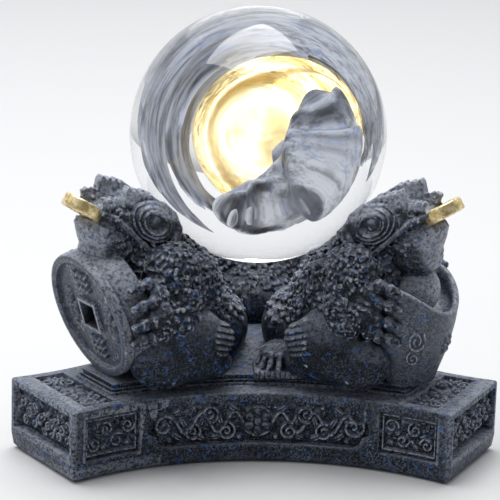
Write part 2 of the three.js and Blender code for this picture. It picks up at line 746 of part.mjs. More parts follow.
for (const arm of ARMS) {
  const group = new THREE.Group();
  group.rotation.z = radians(arm.azimuth);
  group.add(namedMesh(`end_relief_${arm.name}`, endPanel(), RESIN));
  group.add(namedMesh(`top_relief_${arm.name}`, topPanel(), RESIN_PALE));
  for (const [name, solid, finish] of TREASURES[arm.name].pieces) {
    group.add(namedMesh(name, solid, finish));
  }
  group.add(namedMesh(`mouth_coin_${arm.name}`, mouthCoin(0).subtract(mouthCoinHole()), GOLD));
  group.add(...toad(arm.name, arm.azimuth));
  object.add(group);
}

export default object;
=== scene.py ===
"""A glass crystal ball on a cast stand with three toads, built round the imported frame.

The stand's forms are made in millimetres in an arm's own frame: x outwards along the arm, y to its
left and z up. add_mesh() turns them to the arm's azimuth and puts them in metres.
"""

import math

import bmesh
import bpy
import numpy as np
from mathutils import Matrix, Vector


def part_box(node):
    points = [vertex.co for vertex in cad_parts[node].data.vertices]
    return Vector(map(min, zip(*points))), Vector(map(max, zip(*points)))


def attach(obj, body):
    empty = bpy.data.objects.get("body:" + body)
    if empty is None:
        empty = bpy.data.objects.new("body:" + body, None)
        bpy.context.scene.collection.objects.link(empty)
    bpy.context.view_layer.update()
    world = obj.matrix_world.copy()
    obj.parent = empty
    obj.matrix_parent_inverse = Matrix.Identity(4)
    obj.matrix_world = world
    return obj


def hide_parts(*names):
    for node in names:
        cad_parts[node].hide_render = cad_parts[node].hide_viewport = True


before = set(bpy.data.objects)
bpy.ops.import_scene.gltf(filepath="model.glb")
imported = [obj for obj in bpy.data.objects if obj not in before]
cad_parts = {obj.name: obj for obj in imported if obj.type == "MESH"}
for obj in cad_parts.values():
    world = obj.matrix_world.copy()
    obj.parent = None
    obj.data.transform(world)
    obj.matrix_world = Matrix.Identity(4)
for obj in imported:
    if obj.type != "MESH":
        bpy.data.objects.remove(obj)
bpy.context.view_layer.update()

# ---------------------------------------------------------------- sizes from the frame

MM = 0.001
SIXTY = math.pi / 3
ARMS = {"rear": 90, "left": 210, "right": 330}
SIDES = {"front": 270, "right": 30, "left": 150}


def box_mm(node):
    """Lowest and highest corner of a CAD node, in millimetres."""
    low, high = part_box(node)
    return np.array(low) / MM, np.array(high) / MM


ball_low, ball_high = box_mm("crystal_ball")
plinth_low, plinth_high = box_mm("plinth")
tier_low, tier_high = box_mm("upper_tier")
BALL_RADIUS = (ball_high[2] - ball_low[2]) / 2
BALL_CENTRE = (ball_high[2] + ball_low[2]) / 2
PLINTH_FOOT = plinth_low[2]
PLINTH_TOP = plinth_high[2]
REACH = plinth_high[1]
END_HALF_WIDTH = (plinth_high[0] - REACH * math.sin(SIXTY)) / math.cos(SIXTY)
SHEET_BACK = 1.9  # how deep a side panel's back lies behind the side
WAIST = SHEET_BACK - box_mm("side_relief_front")[1][1]
TIER_TOP = PLINTH_TOP + 3.0
TIER_REACH = tier_high[1]
SOLE = TIER_TOP + 0.3

CORNER_ALONG = REACH * math.sin(SIXTY) - END_HALF_WIDTH * math.cos(SIXTY)
CORNER_OUT = REACH * math.cos(SIXTY) + END_HALF_WIDTH * math.sin(SIXTY)
SAG = CORNER_OUT - WAIST
ARC_RADIUS = (CORNER_ALONG**2 + SAG**2) / (2 * SAG)
ARC_CENTRE = WAIST + ARC_RADIUS

# ---------------------------------------------------------------- meshes


def add_mesh(name, points, faces, azimuth=0.0, smooth=True):
    """A new object from points in millimetres, in a frame turned by azimuth degrees."""
    points = np.asarray(points, float) * MM
    c, s = math.cos(math.radians(azimuth)), math.sin(math.radians(azimuth))
    turned = points.copy()
    turned[:, 0] = points[:, 0] * c - points[:, 1] * s
    turned[:, 1] = points[:, 0] * s + points[:, 1] * c
    mesh = bpy.data.meshes.new(name)
    mesh.from_pydata(turned.tolist(), [], [list(map(int, f)) for f in faces])
    mesh.validate()
    mesh.update()
    if smooth:
        mesh.shade_smooth()
    piece = bpy.data.objects.new(name, mesh)
    bpy.context.scene.collection.objects.link(piece)
    return piece


def settle(piece):
    """Applies a piece's modifiers to its mesh."""
    graph = bpy.context.evaluated_depsgraph_get()
    mesh = bpy.data.meshes.new_from_object(piece.evaluated_get(graph))
    piece.modifiers.clear()
    piece.data = mesh
    return piece


def bevel(piece, width, segments=2, angle=35):
    """Rounds a piece's sharp edges and shades it smooth between them."""
    rounding = piece.modifiers.new("Rounded", "BEVEL")
    rounding.width = width * MM
    rounding.segments = segments
    rounding.limit_method = "ANGLE"
    rounding.angle_limit = math.radians(angle)
    rounding.harden_normals = True
    settle(piece)
    return shade(piece, 32)


def shade(piece, degrees):
    """Shades a piece smooth, with its edges over an angle kept sharp."""
    piece.data.shade_smooth()
    piece.data.set_sharp_from_angle(angle=math.radians(degrees))
    return piece


def combine(piece, tools, operation="DIFFERENCE"):
    """Cuts closed tools, which don't overlap each other, out of a piece, or adds them to it."""
    for tool in tools:
        boolean = piece.modifiers.new("Combined", "BOOLEAN")
        boolean.operation = operation
        boolean.solver = "EXACT"
        boolean.object = tool
    settle(piece)
    for tool in tools:
        bpy.data.objects.remove(tool)
    return piece


def skin_faces(levels, count, first=0):
    """Quads between rings of count points, listed from the bottom up."""
    faces = []
    for level in range(levels - 1):
        for i in range(count):
            a = first + level * count + i
            b = first + level * count + (i + 1) % count
            faces.append((a, b, b + count, a + count))
    return faces


def lofted(name, rings, azimuth=0.0):
    """A closed skin over rings of equally many points, with flat ends."""
    count = len(rings[0])
    points = [p for ring in rings for p in ring]
    faces = skin_faces(len(rings), count)
    faces.append(tuple(range(count))[::-1])
    faces.append(tuple(range(len(points) - count, len(points))))
    return add_mesh(name, points, faces, azimuth, smooth=False)


def revolved(name, profile, segments, place, azimuth=0.0, lift=None):
    """A closed solid of revolution. profile is (radius, height) from the low pole to the high one.

    place(p, q, h) gives the point at p, q across the axis and h along it. lift(p, q, r) adds to h.
    """
    angles = 2 * math.pi * np.arange(segments) / segments
    points, poles = [], []
    for _, height in (profile[0], profile[-1]):
        rise = lift(np.zeros(1), np.zeros(1), height)[0] if lift else 0.0
        poles.append(place(0.0, 0.0, height + rise))
    for radius, height in profile[1:-1]:
        p, q = radius * np.cos(angles), radius * np.sin(angles)
        rise = lift(p, q, height) if lift else np.zeros(segments)
        points.extend(place(a, b, height + c) for a, b, c in zip(p, q, rise))
    levels = len(profile) - 2
    faces = skin_faces(levels, segments)
    points.extend(poles)
    low, high = len(points) - 2, len(points) - 1
    last = (levels - 1) * segments
    for i in range(segments):
        j = (i + 1) % segments
        faces.append((low, j, i))
        faces.append((high, last + i, last + j))
    return add_mesh(name, points, faces, azimuth)


# ---------------------------------------------------------------- relief drawn on a grid


class Relief:
    """Heights over a grid of u and v, in millimetres, with raised shapes drawn on it."""

    def __init__(self, u_range, v_range, step):
        counts = [max(2, int(round((b - a) / step)) + 1) for a, b in (u_range, v_range)]
        self.us = np.linspace(*u_range, counts[0])
        self.vs = np.linspace(*v_range, counts[1])
        self.u, self.v = np.meshgrid(self.us, self.vs, indexing="ij")
        self.height = np.zeros_like(self.u)

    def raise_to(self, height):
        self.height = np.maximum(self.height, height)

    def dome(self, u, v, ru, rv, height, angle=0.0, power=0.5):
        c, s = math.cos(angle), math.sin(angle)
        du, dv = self.u - u, self.v - v
        a, b = (du * c + dv * s) / ru, (dv * c - du * s) / rv
        self.raise_to(height * np.clip(1 - a * a - b * b, 0, 1) ** power)

    def nearest(self, points):
        """Distance from each grid point to a polyline, and the share of it reached there."""
        best = np.full_like(self.u, 1e6)
        share = np.zeros_like(self.u)
        points = np.asarray(points, float)
        spans = len(points) - 1
        for k, ((ax, ay), (bx, by)) in enumerate(zip(points[:-1], points[1:])):
            dx, dy = bx - ax, by - ay
            t = ((self.u - ax) * dx + (self.v - ay) * dy) / max(dx * dx + dy * dy, 1e-9)
            t = np.clip(t, 0, 1)
            distance = np.hypot(self.u - ax - t * dx, self.v - ay - t * dy)
            closer = distance < best
            best = np.where(closer, distance, best)
            share = np.where(closer, (k + t) / spans, share)
        return best, share

    def stroke(self, points, width, height, taper=0.0):
        """A rounded bead along a polyline that narrows by taper towards its far end."""
        distance, share = self.nearest(points)
        half = width / 2 * (1 - taper * share)
        self.raise_to(height * np.sqrt(np.clip(1 - (distance / half) ** 2, 0, 1)))

    def groove(self, points, width, depth):
        distance, _ = self.nearest(points)
        self.height -= depth * np.clip(1 - (distance / (width / 2)) ** 2, 0, 1)

    def scroll(self, u, v, radius, turns, hand, width, height, start=0.0):
        angles = np.linspace(0, 2 * math.pi * turns, int(22 * turns))
        radii = radius * (1 - 0.86 * angles / angles[-1])
        turned = start + hand * angles
        points = np.stack([u + radii * np.cos(turned), v + radii * np.sin(turned)], 1)
        self.stroke(points, width, height, 0.35)

    def flower(self, u, v, radius, petals, height, turn=0.0):
        for k in range(petals):
            angle = turn + 2 * math.pi * k / petals
            pu, pv = u + 0.62 * radius * math.cos(angle), v + 0.62 * radius * math.sin(angle)
            self.dome(pu, pv, 0.4 * radius, 0.3 * radius, 0.8 * height, angle)
        self.dome(u, v, 0.3 * radius, 0.3 * radius, height)

    def leaf(self, u, v, length, width, angle, height):
        self.dome(u, v, length / 2, width / 2, height, angle, 0.6)
        c, s = math.cos(angle) * length / 2, math.sin(angle) * length / 2
        self.groove([(u - c, v - s), (u + c, v + s)], 0.5, 0.3 * height)


def slab(name, relief, place, azimuth, back=0.0):
    """A closed panel whose face is a relief. place(u, v, h) gives points, and its back is at h = back."""
    nu, nv = relief.u.shape
    face = place(relief.u, relief.v, relief.height)
    rear = place(relief.u[:, [0, -1]], relief.v[:, [0, -1]], np.full((nu, 2), back))
    points = np.concatenate([np.stack(face, -1).reshape(-1, 3), np.stack(rear, -1).reshape(-1, 3)])
    i, j = np.meshgrid(np.arange(nu - 1), np.arange(nv - 1), indexing="ij")
    a = (i * nv + j).ravel()
    faces = np.stack([a, a + nv, a + nv + 1, a + 1], 1).tolist()
    first = nu * nv
    for k in range(nu - 1):
        low, high = first + 2 * k, first + 2 * k + 1
        faces.append((low, low + 2, (k + 1) * nv, k * nv))
        faces.append((high, k * nv + nv - 1, (k + 1) * nv + nv - 1, high + 2))
        faces.append((low, high, high + 2, low + 2))
    faces.append([first] + [j for j in range(nv)] + [first + 1])
    end = (nu - 1) * nv
    faces.append([first + 2 * nu - 1] + [end + j for j in range(nv - 1, -1, -1)] + [first + 2 * nu - 2])
    return add_mesh(name, points, faces, azimuth)


# ---------------------------------------------------------------- sculpting

FAR = 99.0
LATTICE = 32


def value_noise(x, y, z, size, seed):
    """Smooth values from -1 to 1 that vary over about size millimetres."""
    lattice = np.random.default_rng(seed).uniform(-1, 1, (LATTICE,) * 3).astype(np.float32)
    whole, part = [], []
    for axis in (x, y, z):
        scaled = np.asarray(axis, np.float32) / size
        low = np.floor(scaled)
        t = scaled - low
        whole.append(low.astype(int) % LATTICE)
        part.append(t * t * (3 - 2 * t))
    total = 0.0
    for corner in range(8):
        weight, index = 1.0, []
        for axis in range(3):
            bit = corner >> axis & 1
            index.append((whole[axis] + bit) % LATTICE)
            weight = weight * (part[axis] if bit else 1 - part[axis])
        total = total + weight * lattice[tuple(index)]
    return total


def egg(centre, half, pitch=0.0, yaw=0.0):
    """An ellipsoid. Its long axis is pitched up from +X, then turned by yaw towards +Y."""
    turn = Matrix.Rotation(math.radians(yaw), 3, "Z") @ Matrix.Rotation(-math.radians(pitch), 3, "Y")
    rows = np.array(turn.transposed(), np.float32)
    centre, half = np.array(centre, np.float32), np.array(half, np.float32)

    def distance(x, y, z):
        offset = (x - centre[0], y - centre[1], z - centre[2])
        near = [sum(rows[i][k] * offset[k] for k in range(3)) for i in range(3)]
        k0 = np.sqrt(sum((near[i] / half[i]) ** 2 for i in range(3)))
        k1 = np.sqrt(sum((near[i] / half[i] ** 2) ** 2 for i in range(3)))
        return k0 * (k0 - 1) / np.maximum(k1, 1e-6)

    reach = half.max()
    return distance, centre - reach, centre + reach


def bone(start, end, low_radius, high_radius=None):
    """A limb with round ends whose radius changes from one end to the other."""
    a, b = np.array(start, np.float32), np.array(end, np.float32)
    high_radius = low_radius if high_radius is None else high_radius
    way = b - a
    length = max(float(way @ way), 1e-9)

    def distance(x, y, z):
        dx, dy, dz = x - a[0], y - a[1], z - a[2]
        t = np.clip((dx * way[0] + dy * way[1] + dz * way[2]) / length, 0, 1)
        gap = np.sqrt((dx - t * way[0]) ** 2 + (dy - t * way[1]) ** 2 + (dz - t * way[2]) ** 2)
        return gap - low_radius - t * (high_radius - low_radius)

    reach = max(low_radius, high_radius)
    return distance, np.minimum(a, b) - reach, np.maximum(a, b) + reach


def chain(points, low_radius, high_radius=None):
    """Bones end to end, tapering from the first point to the last."""
    high_radius = low_radius if high_radius is None else high_radius
    spans = len(points) - 1
    radii = [low_radius + (high_radius - low_radius) * k / spans for k in range(spans + 1)]
    return [bone(points[k], points[k + 1], radii[k], radii[k + 1]) for k in range(spans)]


def brick(centre, half, pitch=0.0, yaw=0.0, rounding=0.5):
    """A block with rounded edges, turned as an egg is."""
    turn = Matrix.Rotation(math.radians(yaw), 3, "Z") @ Matrix.Rotation(-math.radians(pitch), 3, "Y")
    rows = np.array(turn.transposed(), np.float32)
    centre, half = np.array(centre, np.float32), np.array(half, np.float32) - rounding

    def distance(x, y, z):
        offset = (x - centre[0], y - centre[1], z - centre[2])
        over = [np.abs(sum(rows[i][k] * offset[k] for k in range(3))) - half[i] for i in range(3)]
        out = np.sqrt(sum(np.maximum(o, 0) ** 2 for o in over))
        return out + np.minimum(np.maximum(over[0], np.maximum(over[1], over[2])), 0) - rounding

    reach = float(np.linalg.norm(half)) + rounding
    return distance, centre - reach, centre + reach


class Clay:
    """A signed distance field that forms are added to and carved from, negative inside."""

    def __init__(self, low, high, step):
        self.low = np.array(low, np.float32)
        self.step = np.float32(step)
        counts = np.ceil((np.array(high) - self.low) / step).astype(int) + 1
        self.field = np.full(counts, FAR, np.float32)

    def window(self, low, high):
        shape = np.array(self.field.shape)
        start = np.clip(np.floor((low - self.low) / self.step).astype(int), 0, shape)
        stop = np.clip(np.ceil((high - self.low) / self.step).astype(int) + 1, 0, shape)
        if (stop <= start).any():
            return None, None
        axes = [self.low[i] + self.step * np.arange(start[i], stop[i]) for i in range(3)]
        grid = np.meshgrid(*[a.astype(np.float32) for a in axes], indexing="ij", sparse=True)
        return tuple(slice(a, b) for a, b in zip(start, stop)), grid

    def everywhere(self):
        high = self.low + self.step * (np.array(self.field.shape) - 1)
        return self.window(self.low, high)

    def add(self, form, blend=1.0):
        distance, low, high = form
        margin = blend + 3 * self.step
        place, grid = self.window(low - margin, high + margin)
        if place is None:
            return
        here, there = self.field[place], distance(*grid)
        soft = np.clip(blend - np.abs(here - there), 0, None)
        self.field[place] = np.minimum(here, there) - soft * soft / (4 * blend)

    def carve(self, form, blend=0.5):
        distance, low, high = form
        margin = blend + 2 * self.step
        place, grid = self.window(low - margin, high + margin)
        if place is None:
            return
        here, there = self.field[place], -distance(*grid)
        soft = np.clip(blend - np.abs(here - there), 0, None)
        self.field[place] = np.maximum(here, there) + soft * soft / (4 * blend)

    def push(self, low, high, amount):
        """Moves the surface out by amount(x, y, z) inside a box."""
        place, grid = self.window(np.array(low, float), np.array(high, float))
        if place is not None:
            self.field[place] -= amount(*grid).astype(np.float32)

    def on_surface(self, points):
        """Points moved onto the surface, and its outward directions there."""
        points = np.array(points, float)
        gradient = np.zeros_like(points)
        for _ in range(4):
            cell = (points - self.low) / self.step
            top = np.array(self.field.shape) - 2
            cell = np.clip(np.round(cell).astype(int), 1, top)
            i, j, k = cell.T
            value = self.field[i, j, k]
            gradient = np.stack([
                self.field[i + 1, j, k] - self.field[i - 1, j, k],
                self.field[i, j + 1, k] - self.field[i, j - 1, k],
                self.field[i, j, k + 1] - self.field[i, j, k - 1],
            ], 1) / (2 * self.step)
            gradient /= np.maximum(np.linalg.norm(gradient, axis=1, keepdims=True), 1e-6)
            points = points - gradient * np.clip(value, -4, 4)[:, None]
        return points, gradient

    def warts(self, seed, count, low, high, sizes, keep, proud=0.35, blend=0.5):
        """Bumps at random places on the surface inside a box, where keep(point, normal) says so."""
        rng = np.random.default_rng(seed)
        places, normals = self.on_surface(rng.uniform(low, high, (count, 3)))
        radii = rng.uniform(*sizes, count)
        for point, normal, radius in zip(places, normals, radii):
            inside = (point > low).all() and (point < high).all()
            if inside and keep(point, normal):
                self.add(egg(point - normal * radius * (1 - 2 * proud), (radius,) * 3), blend)

    def mesh(self):
        return main_parts(*surface_nets(self.field, self.low, self.step))


CORNERS = [(i, j, k) for i in (0, 1) for j in (0, 1) for k in (0, 1)]
EDGES = [
    (a, b)
    for a in CORNERS
    for b in CORNERS
    if a < b and sum(abs(p - q) for p, q in zip(a, b)) == 1
]


def surface_nets(field, low, step):
    """Points and quads of the surface where the field crosses zero."""
    field = np.pad(field, 1, constant_values=FAR)
    low = np.array(low, float) - step
    counts = np.array(field.shape) - 1

    def corner(offset):
        return field[tuple(slice(o, o + n) for o, n in zip(offset, counts))]

    inside = sum((corner(c) < 0).astype(np.uint8) for c in CORNERS)
    cells = np.nonzero((inside > 0) & (inside < 8))
    number = np.full(counts, -1, np.int64)
    number[cells] = np.arange(len(cells[0]))
    total = np.zeros((len(cells[0]), 3))
    crossings = np.zeros(len(cells[0]))
    for a, b in EDGES:
        fa = field[tuple(c + o for c, o in zip(cells, a))]
        fb = field[tuple(c + o for c, o in zip(cells, b))]
        crossed = (fa < 0) != (fb < 0)
        t = np.where(crossed, fa / np.where(crossed, fa - fb, 1), 0)
        edge = np.array(a) + t[:, None] * (np.array(b) - np.array(a))
        total += edge * crossed[:, None]
        crossings += crossed
    points = low + step * (np.stack(cells, 1) + total / crossings[:, None])
    quads = []
    for axis in range(3):
        across, up = (axis + 1) % 3, (axis + 2) % 3
        near = [slice(None)] * 3
        far = [slice(None)] * 3
        near[axis], far[axis] = slice(0, -1), slice(1, None)
        first = field[tuple(near)] < 0
        second = field[tuple(far)] < 0
        for flip, found in ((False, first & ~second), (True, ~first & second)):
            at = np.stack(np.nonzero(found), 1)
            steps = [(0, 0), (-1, 0), (-1, -1), (0, -1)]
            ring = []
            for da, du in steps:
                cell = at.copy()
                cell[:, across] += da
                cell[:, up] += du
                ring.append(number[cell[:, 0], cell[:, 1], cell[:, 2]])
            quad = np.stack(ring[::-1] if flip else ring, 1)
            quads.append(quad[(quad >= 0).all(1)])
    return points, np.concatenate(quads)


SPECK = 400  # points that a loose part needs to be kept


def main_parts(points, quads):
    """The points and quads without small loose parts."""
    label = np.arange(len(points))
    while True:
        least = label[quads].min(1)
        lower = label.copy()
        np.minimum.at(lower, quads, least[:, None])
        lower = lower[lower]
        if (lower == label).all():
            break
        label = lower
    size = np.bincount(label, minlength=len(points))
    kept = size[label] >= SPECK
    number = np.cumsum(kept) - 1
    return points[kept], number[quads[kept[quads[:, 0]]]]


# ---------------------------------------------------------------- materials


class Shader:
    """A material under construction, with a Principled surface and object coordinates."""

    def __init__(self, name):
        self.material = bpy.data.materials.new(name)
        self.material.use_nodes = True
        self.tree = self.material.node_tree
        self.tree.nodes.clear()
        output = self.node("OutputMaterial")
        self.surface = self.node("BsdfPrincipled")
        self.link(self.surface.outputs[0], output.inputs["Surface"])
        self.place = self.node("TexCoord").outputs["Object"]

    def node(self, kind, **settings):
        made = self.tree.nodes.new("ShaderNode" + kind)
        for key, value in settings.items():
            setattr(made, key, value)
        return made

    def link(self, source, target):
        self.tree.links.new(source, target)

    def put(self, target, value):
        """Sets a socket to a number or colour, or links it to another socket."""
        if isinstance(value, bpy.types.NodeSocket):
            self.link(value, target)
        elif isinstance(value, tuple):
            target.default_value = (*value, 1.0)
        else:
            target.default_value = value

    def noise(self, per_metre, detail=3.0, roughness=0.55, distortion=0.0):
        made = self.node("TexNoise")
        self.link(self.place, made.inputs["Vector"])
        made.inputs["Scale"].default_value = per_metre
        made.inputs["Detail"].default_value = detail
        made.inputs["Roughness"].default_value = roughness
        made.inputs["Distortion"].default_value = distortion
        return made.outputs["Fac"]

    def ramp(self, value, low, high, to_low=0.0, to_high=1.0):
        made = self.node("MapRange", clamp=True, interpolation_type="SMOOTHSTEP")
        for key, number in zip(("From Min", "From Max", "To Min", "To Max"), (low, high, to_low, to_high)):
            made.inputs[key].default_value = number
        self.put(made.inputs["Value"], value)
        return made.outputs["Result"]

    def math(self, operation, a, b=0.0):
        made = self.node("Math", operation=operation)
        self.put(made.inputs[0], a)
        self.put(made.inputs[1], b)
        return made.outputs[0]

    def mix(self, share, a, b):
        made = self.node("Mix", data_type="RGBA")
        self.put(made.inputs["Factor"], share)
        self.put(made.inputs["A"], a)
        self.put(made.inputs["B"], b)
        return made.outputs["Result"]

    def bump(self, height, distance, strength=1.0):
        made = self.node("Bump")
        self.put(made.inputs["Height"], height)
        made.inputs["Distance"].default_value = distance
        made.inputs["Strength"].default_value = strength
        self.link(made.outputs[0], self.surface.inputs["Normal"])

    def set(self, **sockets):
        for key, value in sockets.items():
            self.put(self.surface.inputs[key.replace("_", " ")], value)


BLACK = (0.0032, 0.0042, 0.0062)
SLATE = (0.009, 0.0125, 0.019)
DUST = (0.14, 0.185, 0.27)
PALE_PAINT_AND_TOP_LIGHT = (0.37, 0.40, 0.47)
BLUE = (0.014, 0.075, 0.27)
PALE_BLUE = (0.09, 0.20, 0.44)


def resin(name, dust=0.5, top=0.5, flecks=0.5, edge=0.5, wash=0.0, shine=0.15, bump=0.05):
    """Cast resin: near-black slate with grey-blue speckle, painted light that makes what lies face up paler, pale wash
    paint, blue blotches, worn pale edges and painted shade in the hollows."""
    shader = Shader(name)
    base = shader.mix(shader.ramp(shader.noise(260, 4), 0.35, 0.7), BLACK, SLATE)
    bend = shader.node("NewGeometry").outputs["Pointiness"]
    upward = shader.node("SeparateXYZ")
    shader.link(shader.node("NewGeometry").outputs["Normal"], upward.inputs[0])
    speckle = shader.ramp(shader.noise(1700, 2, 0.6), 0.48, 0.60)
    cloud = shader.ramp(shader.noise(150, 3, 0.6), 0.35, 0.7, 0.25, 1.0)
    spotted = shader.math("MULTIPLY", shader.math("MULTIPLY", speckle, cloud), dust)
    colour = shader.mix(spotted, base, DUST)
    # Painted light: faces that point up are painted paler, up to top, standing in for light from above.
    painted_top_light = shader.ramp(upward.outputs["Z"], 0.0, 0.8, 0.0, top)
    patchy = shader.ramp(shader.noise(900, 4, 0.7), 0.36, 0.58, 0.25, 1.0)
    painted = shader.math("MAXIMUM", shader.node("Attribute", attribute_name="wash").outputs["Fac"], wash)
    # Pale grey-blue where faces point up (painted light) and where the wash says (real pale paint), broken up in
    # patches.
    colour = shader.mix(shader.math("MULTIPLY", shader.math("MAXIMUM", painted_top_light, painted), patchy), colour, PALE_PAINT_AND_TOP_LIGHT)
    big = shader.ramp(shader.noise(480, 3.0, 0.6, 0.7), 0.60, 0.635)
    tint = shader.mix(shader.ramp(shader.noise(700, 2), 0.4, 0.65), BLUE, PALE_BLUE)
    colour = shader.mix(shader.math("MULTIPLY", big, flecks), colour, tint)
    worn = shader.ramp(bend, 0.508, 0.57, 0.0, edge)
    broken = shader.ramp(shader.noise(900, 3, 0.7), 0.36, 0.6)
    colour = shader.mix(shader.math("MULTIPLY", worn, broken), colour, PALE_PAINT_AND_TOP_LIGHT)
    # Painted shade: hollows, where pointiness is low, are painted near black.
    hollow_painted_shade = shader.ramp(bend, 0.38, 0.48, 0.12, 1.0)
    shaded = shader.mix(hollow_painted_shade, (0.0015, 0.002, 0.003), colour)
    rough = shader.ramp(shader.noise(700, 3), 0.3, 0.7, 0.32, 0.54)
    shader.set(Base_Color=shaded, Roughness=rough)
    shader.surface.inputs["Specular IOR Level"].default_value = shine
    grain = shader.math("ADD", shader.noise(1400, 3), shader.math("MULTIPLY", shader.noise(420, 3), 1.5))
    shader.bump(grain, bump * MM, 0.6)
    return shader.material


def gilded(name):
    """Worn gold paint with darker hollows."""
    shader = Shader(name)
    bend = shader.node("NewGeometry").outputs["Pointiness"]
    worn = shader.ramp(shader.noise(520, 4, 0.65), 0.35, 0.68)
    colour = shader.mix(worn, (0.50, 0.34, 0.10), (0.95, 0.80, 0.44))
    edge = shader.ramp(bend, 0.5, 0.6, 0.0, 0.8)
    colour = shader.mix(edge, colour, (1.0, 0.90, 0.66))
    pit = shader.ramp(shader.noise(1400, 2), 0.62, 0.7, 0.0, 0.75)
    colour = shader.mix(pit, colour, (0.10, 0.055, 0.015))
    shader.set(Base_Color=colour, Metallic=0.75, Roughness=shader.ramp(shader.noise(900, 3), 0.3, 0.7, 0.26, 0.5))
    shader.bump(shader.noise(1100, 4, 0.7), 0.12 * MM, 0.7)
    return shader.material


def crystal(name):
    """Clear glass."""
    shader = Shader(name)
    shader.set(Base_Color=(1.0, 1.0, 1.0), Roughness=0.0, IOR=1.5)
    shader.surface.inputs["Transmission Weight"].default_value = 1.0
    return shader.material


def felted(name):
    """Dark felt with short fibres."""
    shader = Shader(name)
    fibre = shader.noise(2600, 4, 0.7, 1.2)
    colour = shader.mix(fibre, (0.006, 0.007, 0.009), (0.028, 0.031, 0.036))
    shader.set(Base_Color=colour, Roughness=0.95)
    shader.surface.inputs["Sheen Weight"].default_value = 0.3
    shader.bump(fibre, 0.15 * MM, 0.8)
    return shader.material


def plain(name, colour, roughness):
    shader = Shader(name)
    shader.set(Base_Color=colour, Roughness=roughness)
    return shader.material


# top sets how strongly painted light pales what lies face up; wash is real pale paint.
FLESH = resin("ToadResin", dust=0.40, top=0.40, flecks=0.6, edge=1.0)
HEAD_RESIN = resin("HeadResin", dust=0.5, top=0.9, flecks=0.35, edge=0.9, shine=0.3)
STONE = resin("PlinthResin", dust=0.9, top=0.55, flecks=0.8, edge=0.6)
CARVED = resin("CarvedResin", dust=0.65, top=0.55, flecks=0.45, edge=1.0)
METALLIC = resin("TreasureResin", dust=0.8, top=0.8, flecks=0.5, edge=1.0, wash=0.22, shine=0.3)
PEARLY = resin("PearlResin", dust=1.0, top=1.0, flecks=0.12, edge=1.0, wash=0.95, shine=0.4)
GOLD = gilded("GoldPaint")
GLASS = crystal("CrystalGlass")
FELT = felted("PadFelt")


def finish_piece(piece, material, body, slot, *nodes):
    """Gives a piece its material and the body it rides on, and hides the CAD nodes it stands for; slot is not used."""
    piece.data.materials.clear()
    piece.data.materials.append(material)
    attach(piece, body)
    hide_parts(*nodes)
    return piece


# ---------------------------------------------------------------- the stand's outline

ARC_STEPS = 64
CORNER_STEPS = 5
FOOT_INSET = 1.4
FOOT_BEVEL = 4.8
TIER_SETBACK = REACH - TIER_REACH
TIER_INSET = 7.6
SIDE_DEPTH = 2.2
SIDE_LOW, SIDE_HIGH = 6.2, 19.8
SIDE_MIDDLE = (SIDE_LOW + SIDE_HIGH) / 2
SIDE_HALF = ARC_RADIUS * math.asin(CORNER_ALONG / ARC_RADIUS) - 4.6
WINDOW_HALF = 34.5
END_WINDOW = (37.3, SIDE_HALF)
END_DEPTH = 3.6
END_HALF, END_LOW, END_HIGH = 17.0, 7.3, 21.0
TOP_DEPTH = 1.4
TOP_MARGIN = 3.4


def arm_half_width(reach, inset=0.0):
    radius = ARC_RADIUS + inset
    rise = math.sqrt(radius**2 - (reach - ARC_CENTRE * math.cos(SIXTY)) ** 2)
    return ARC_CENTRE * math.sin(SIXTY) - rise


def stand_ring(height, setback, inset, rounding=1.6):
    """The stand's outline at one height, with its arm ends' corners rounded."""
    reach = REACH - setback
    along = reach * math.sin(SIXTY) - arm_half_width(reach, inset) * math.cos(SIXTY)
    radius = ARC_RADIUS + inset
    half = math.asin(along / radius)

    def at(angle, azimuth):
        u, v = radius * math.sin(angle), ARC_CENTRE - radius * math.cos(angle)
        c, s = math.cos(math.radians(azimuth)), math.sin(math.radians(azimuth))
        return np.array([v * c - u * s, v * s + u * c])

    azimuths = list(SIDES.values())
    outline = []
    shares = np.linspace(0, 1, CORNER_STEPS + 1)
    for k, azimuth in enumerate(azimuths):
        trimmed = half - rounding / radius
        outline += [at(a, azimuth) for a in np.linspace(-trimmed, trimmed, ARC_STEPS + 1)]
        leaving, entering = at(half, azimuth), at(-half, azimuths[(k + 1) % 3])
        along_end = (entering - leaving) / np.linalg.norm(entering - leaving) * rounding
        first = (outline[-1], leaving, leaving + along_end)
        second = (entering - along_end, entering, at(-trimmed, azimuths[(k + 1) % 3]))
        for (a, b, c), kept in ((first, shares[1:]), (second, shares[:-1])):
            outline += [(1 - t) ** 2 * a + 2 * t * (1 - t) * b + t * t * c for t in kept]
    return [(p[0], p[1], height) for p in outline]


def side_place(u, z, h):
    """A point on a concave side: u along it, z up, and h out from the floor of its recess."""
    angle = u / ARC_RADIUS
    radius = ARC_RADIUS + SIDE_DEPTH - h
    return ARC_CENTRE - radius * np.cos(angle), radius * np.sin(angle), z


CUSP_AT = [0, 0.4, 1.2, 2.4, 2.6, 3.6, 5.0, 6.4]
CUSP_SHARE = [0.10, 0.27, 0.38, 0.42, 0.62, 0.82, 0.96, 1.0]


def side_window(name, u_low, u_high, cusped, azimuth):
    """A tool that cuts a window into a concave side, with bracket-shaped ends if cusped."""
    rings = []
    for u in np.linspace(u_low, u_high, 121 if cusped else 31):
        from_end = min(u - u_low, u_high - u)
        share = np.interp(from_end, CUSP_AT, CUSP_SHARE) if cusped else 1.0
        half = (SIDE_HIGH - SIDE_LOW) / 2 * share
        corners = [(-half, -0.4), (half, -0.4), (half, 2 * SIDE_DEPTH), (-half, 2 * SIDE_DEPTH)]
        rings.append([side_place(u, SIDE_MIDDLE + dz, h) for dz, h in corners])
    return lofted(name, rings, azimuth)


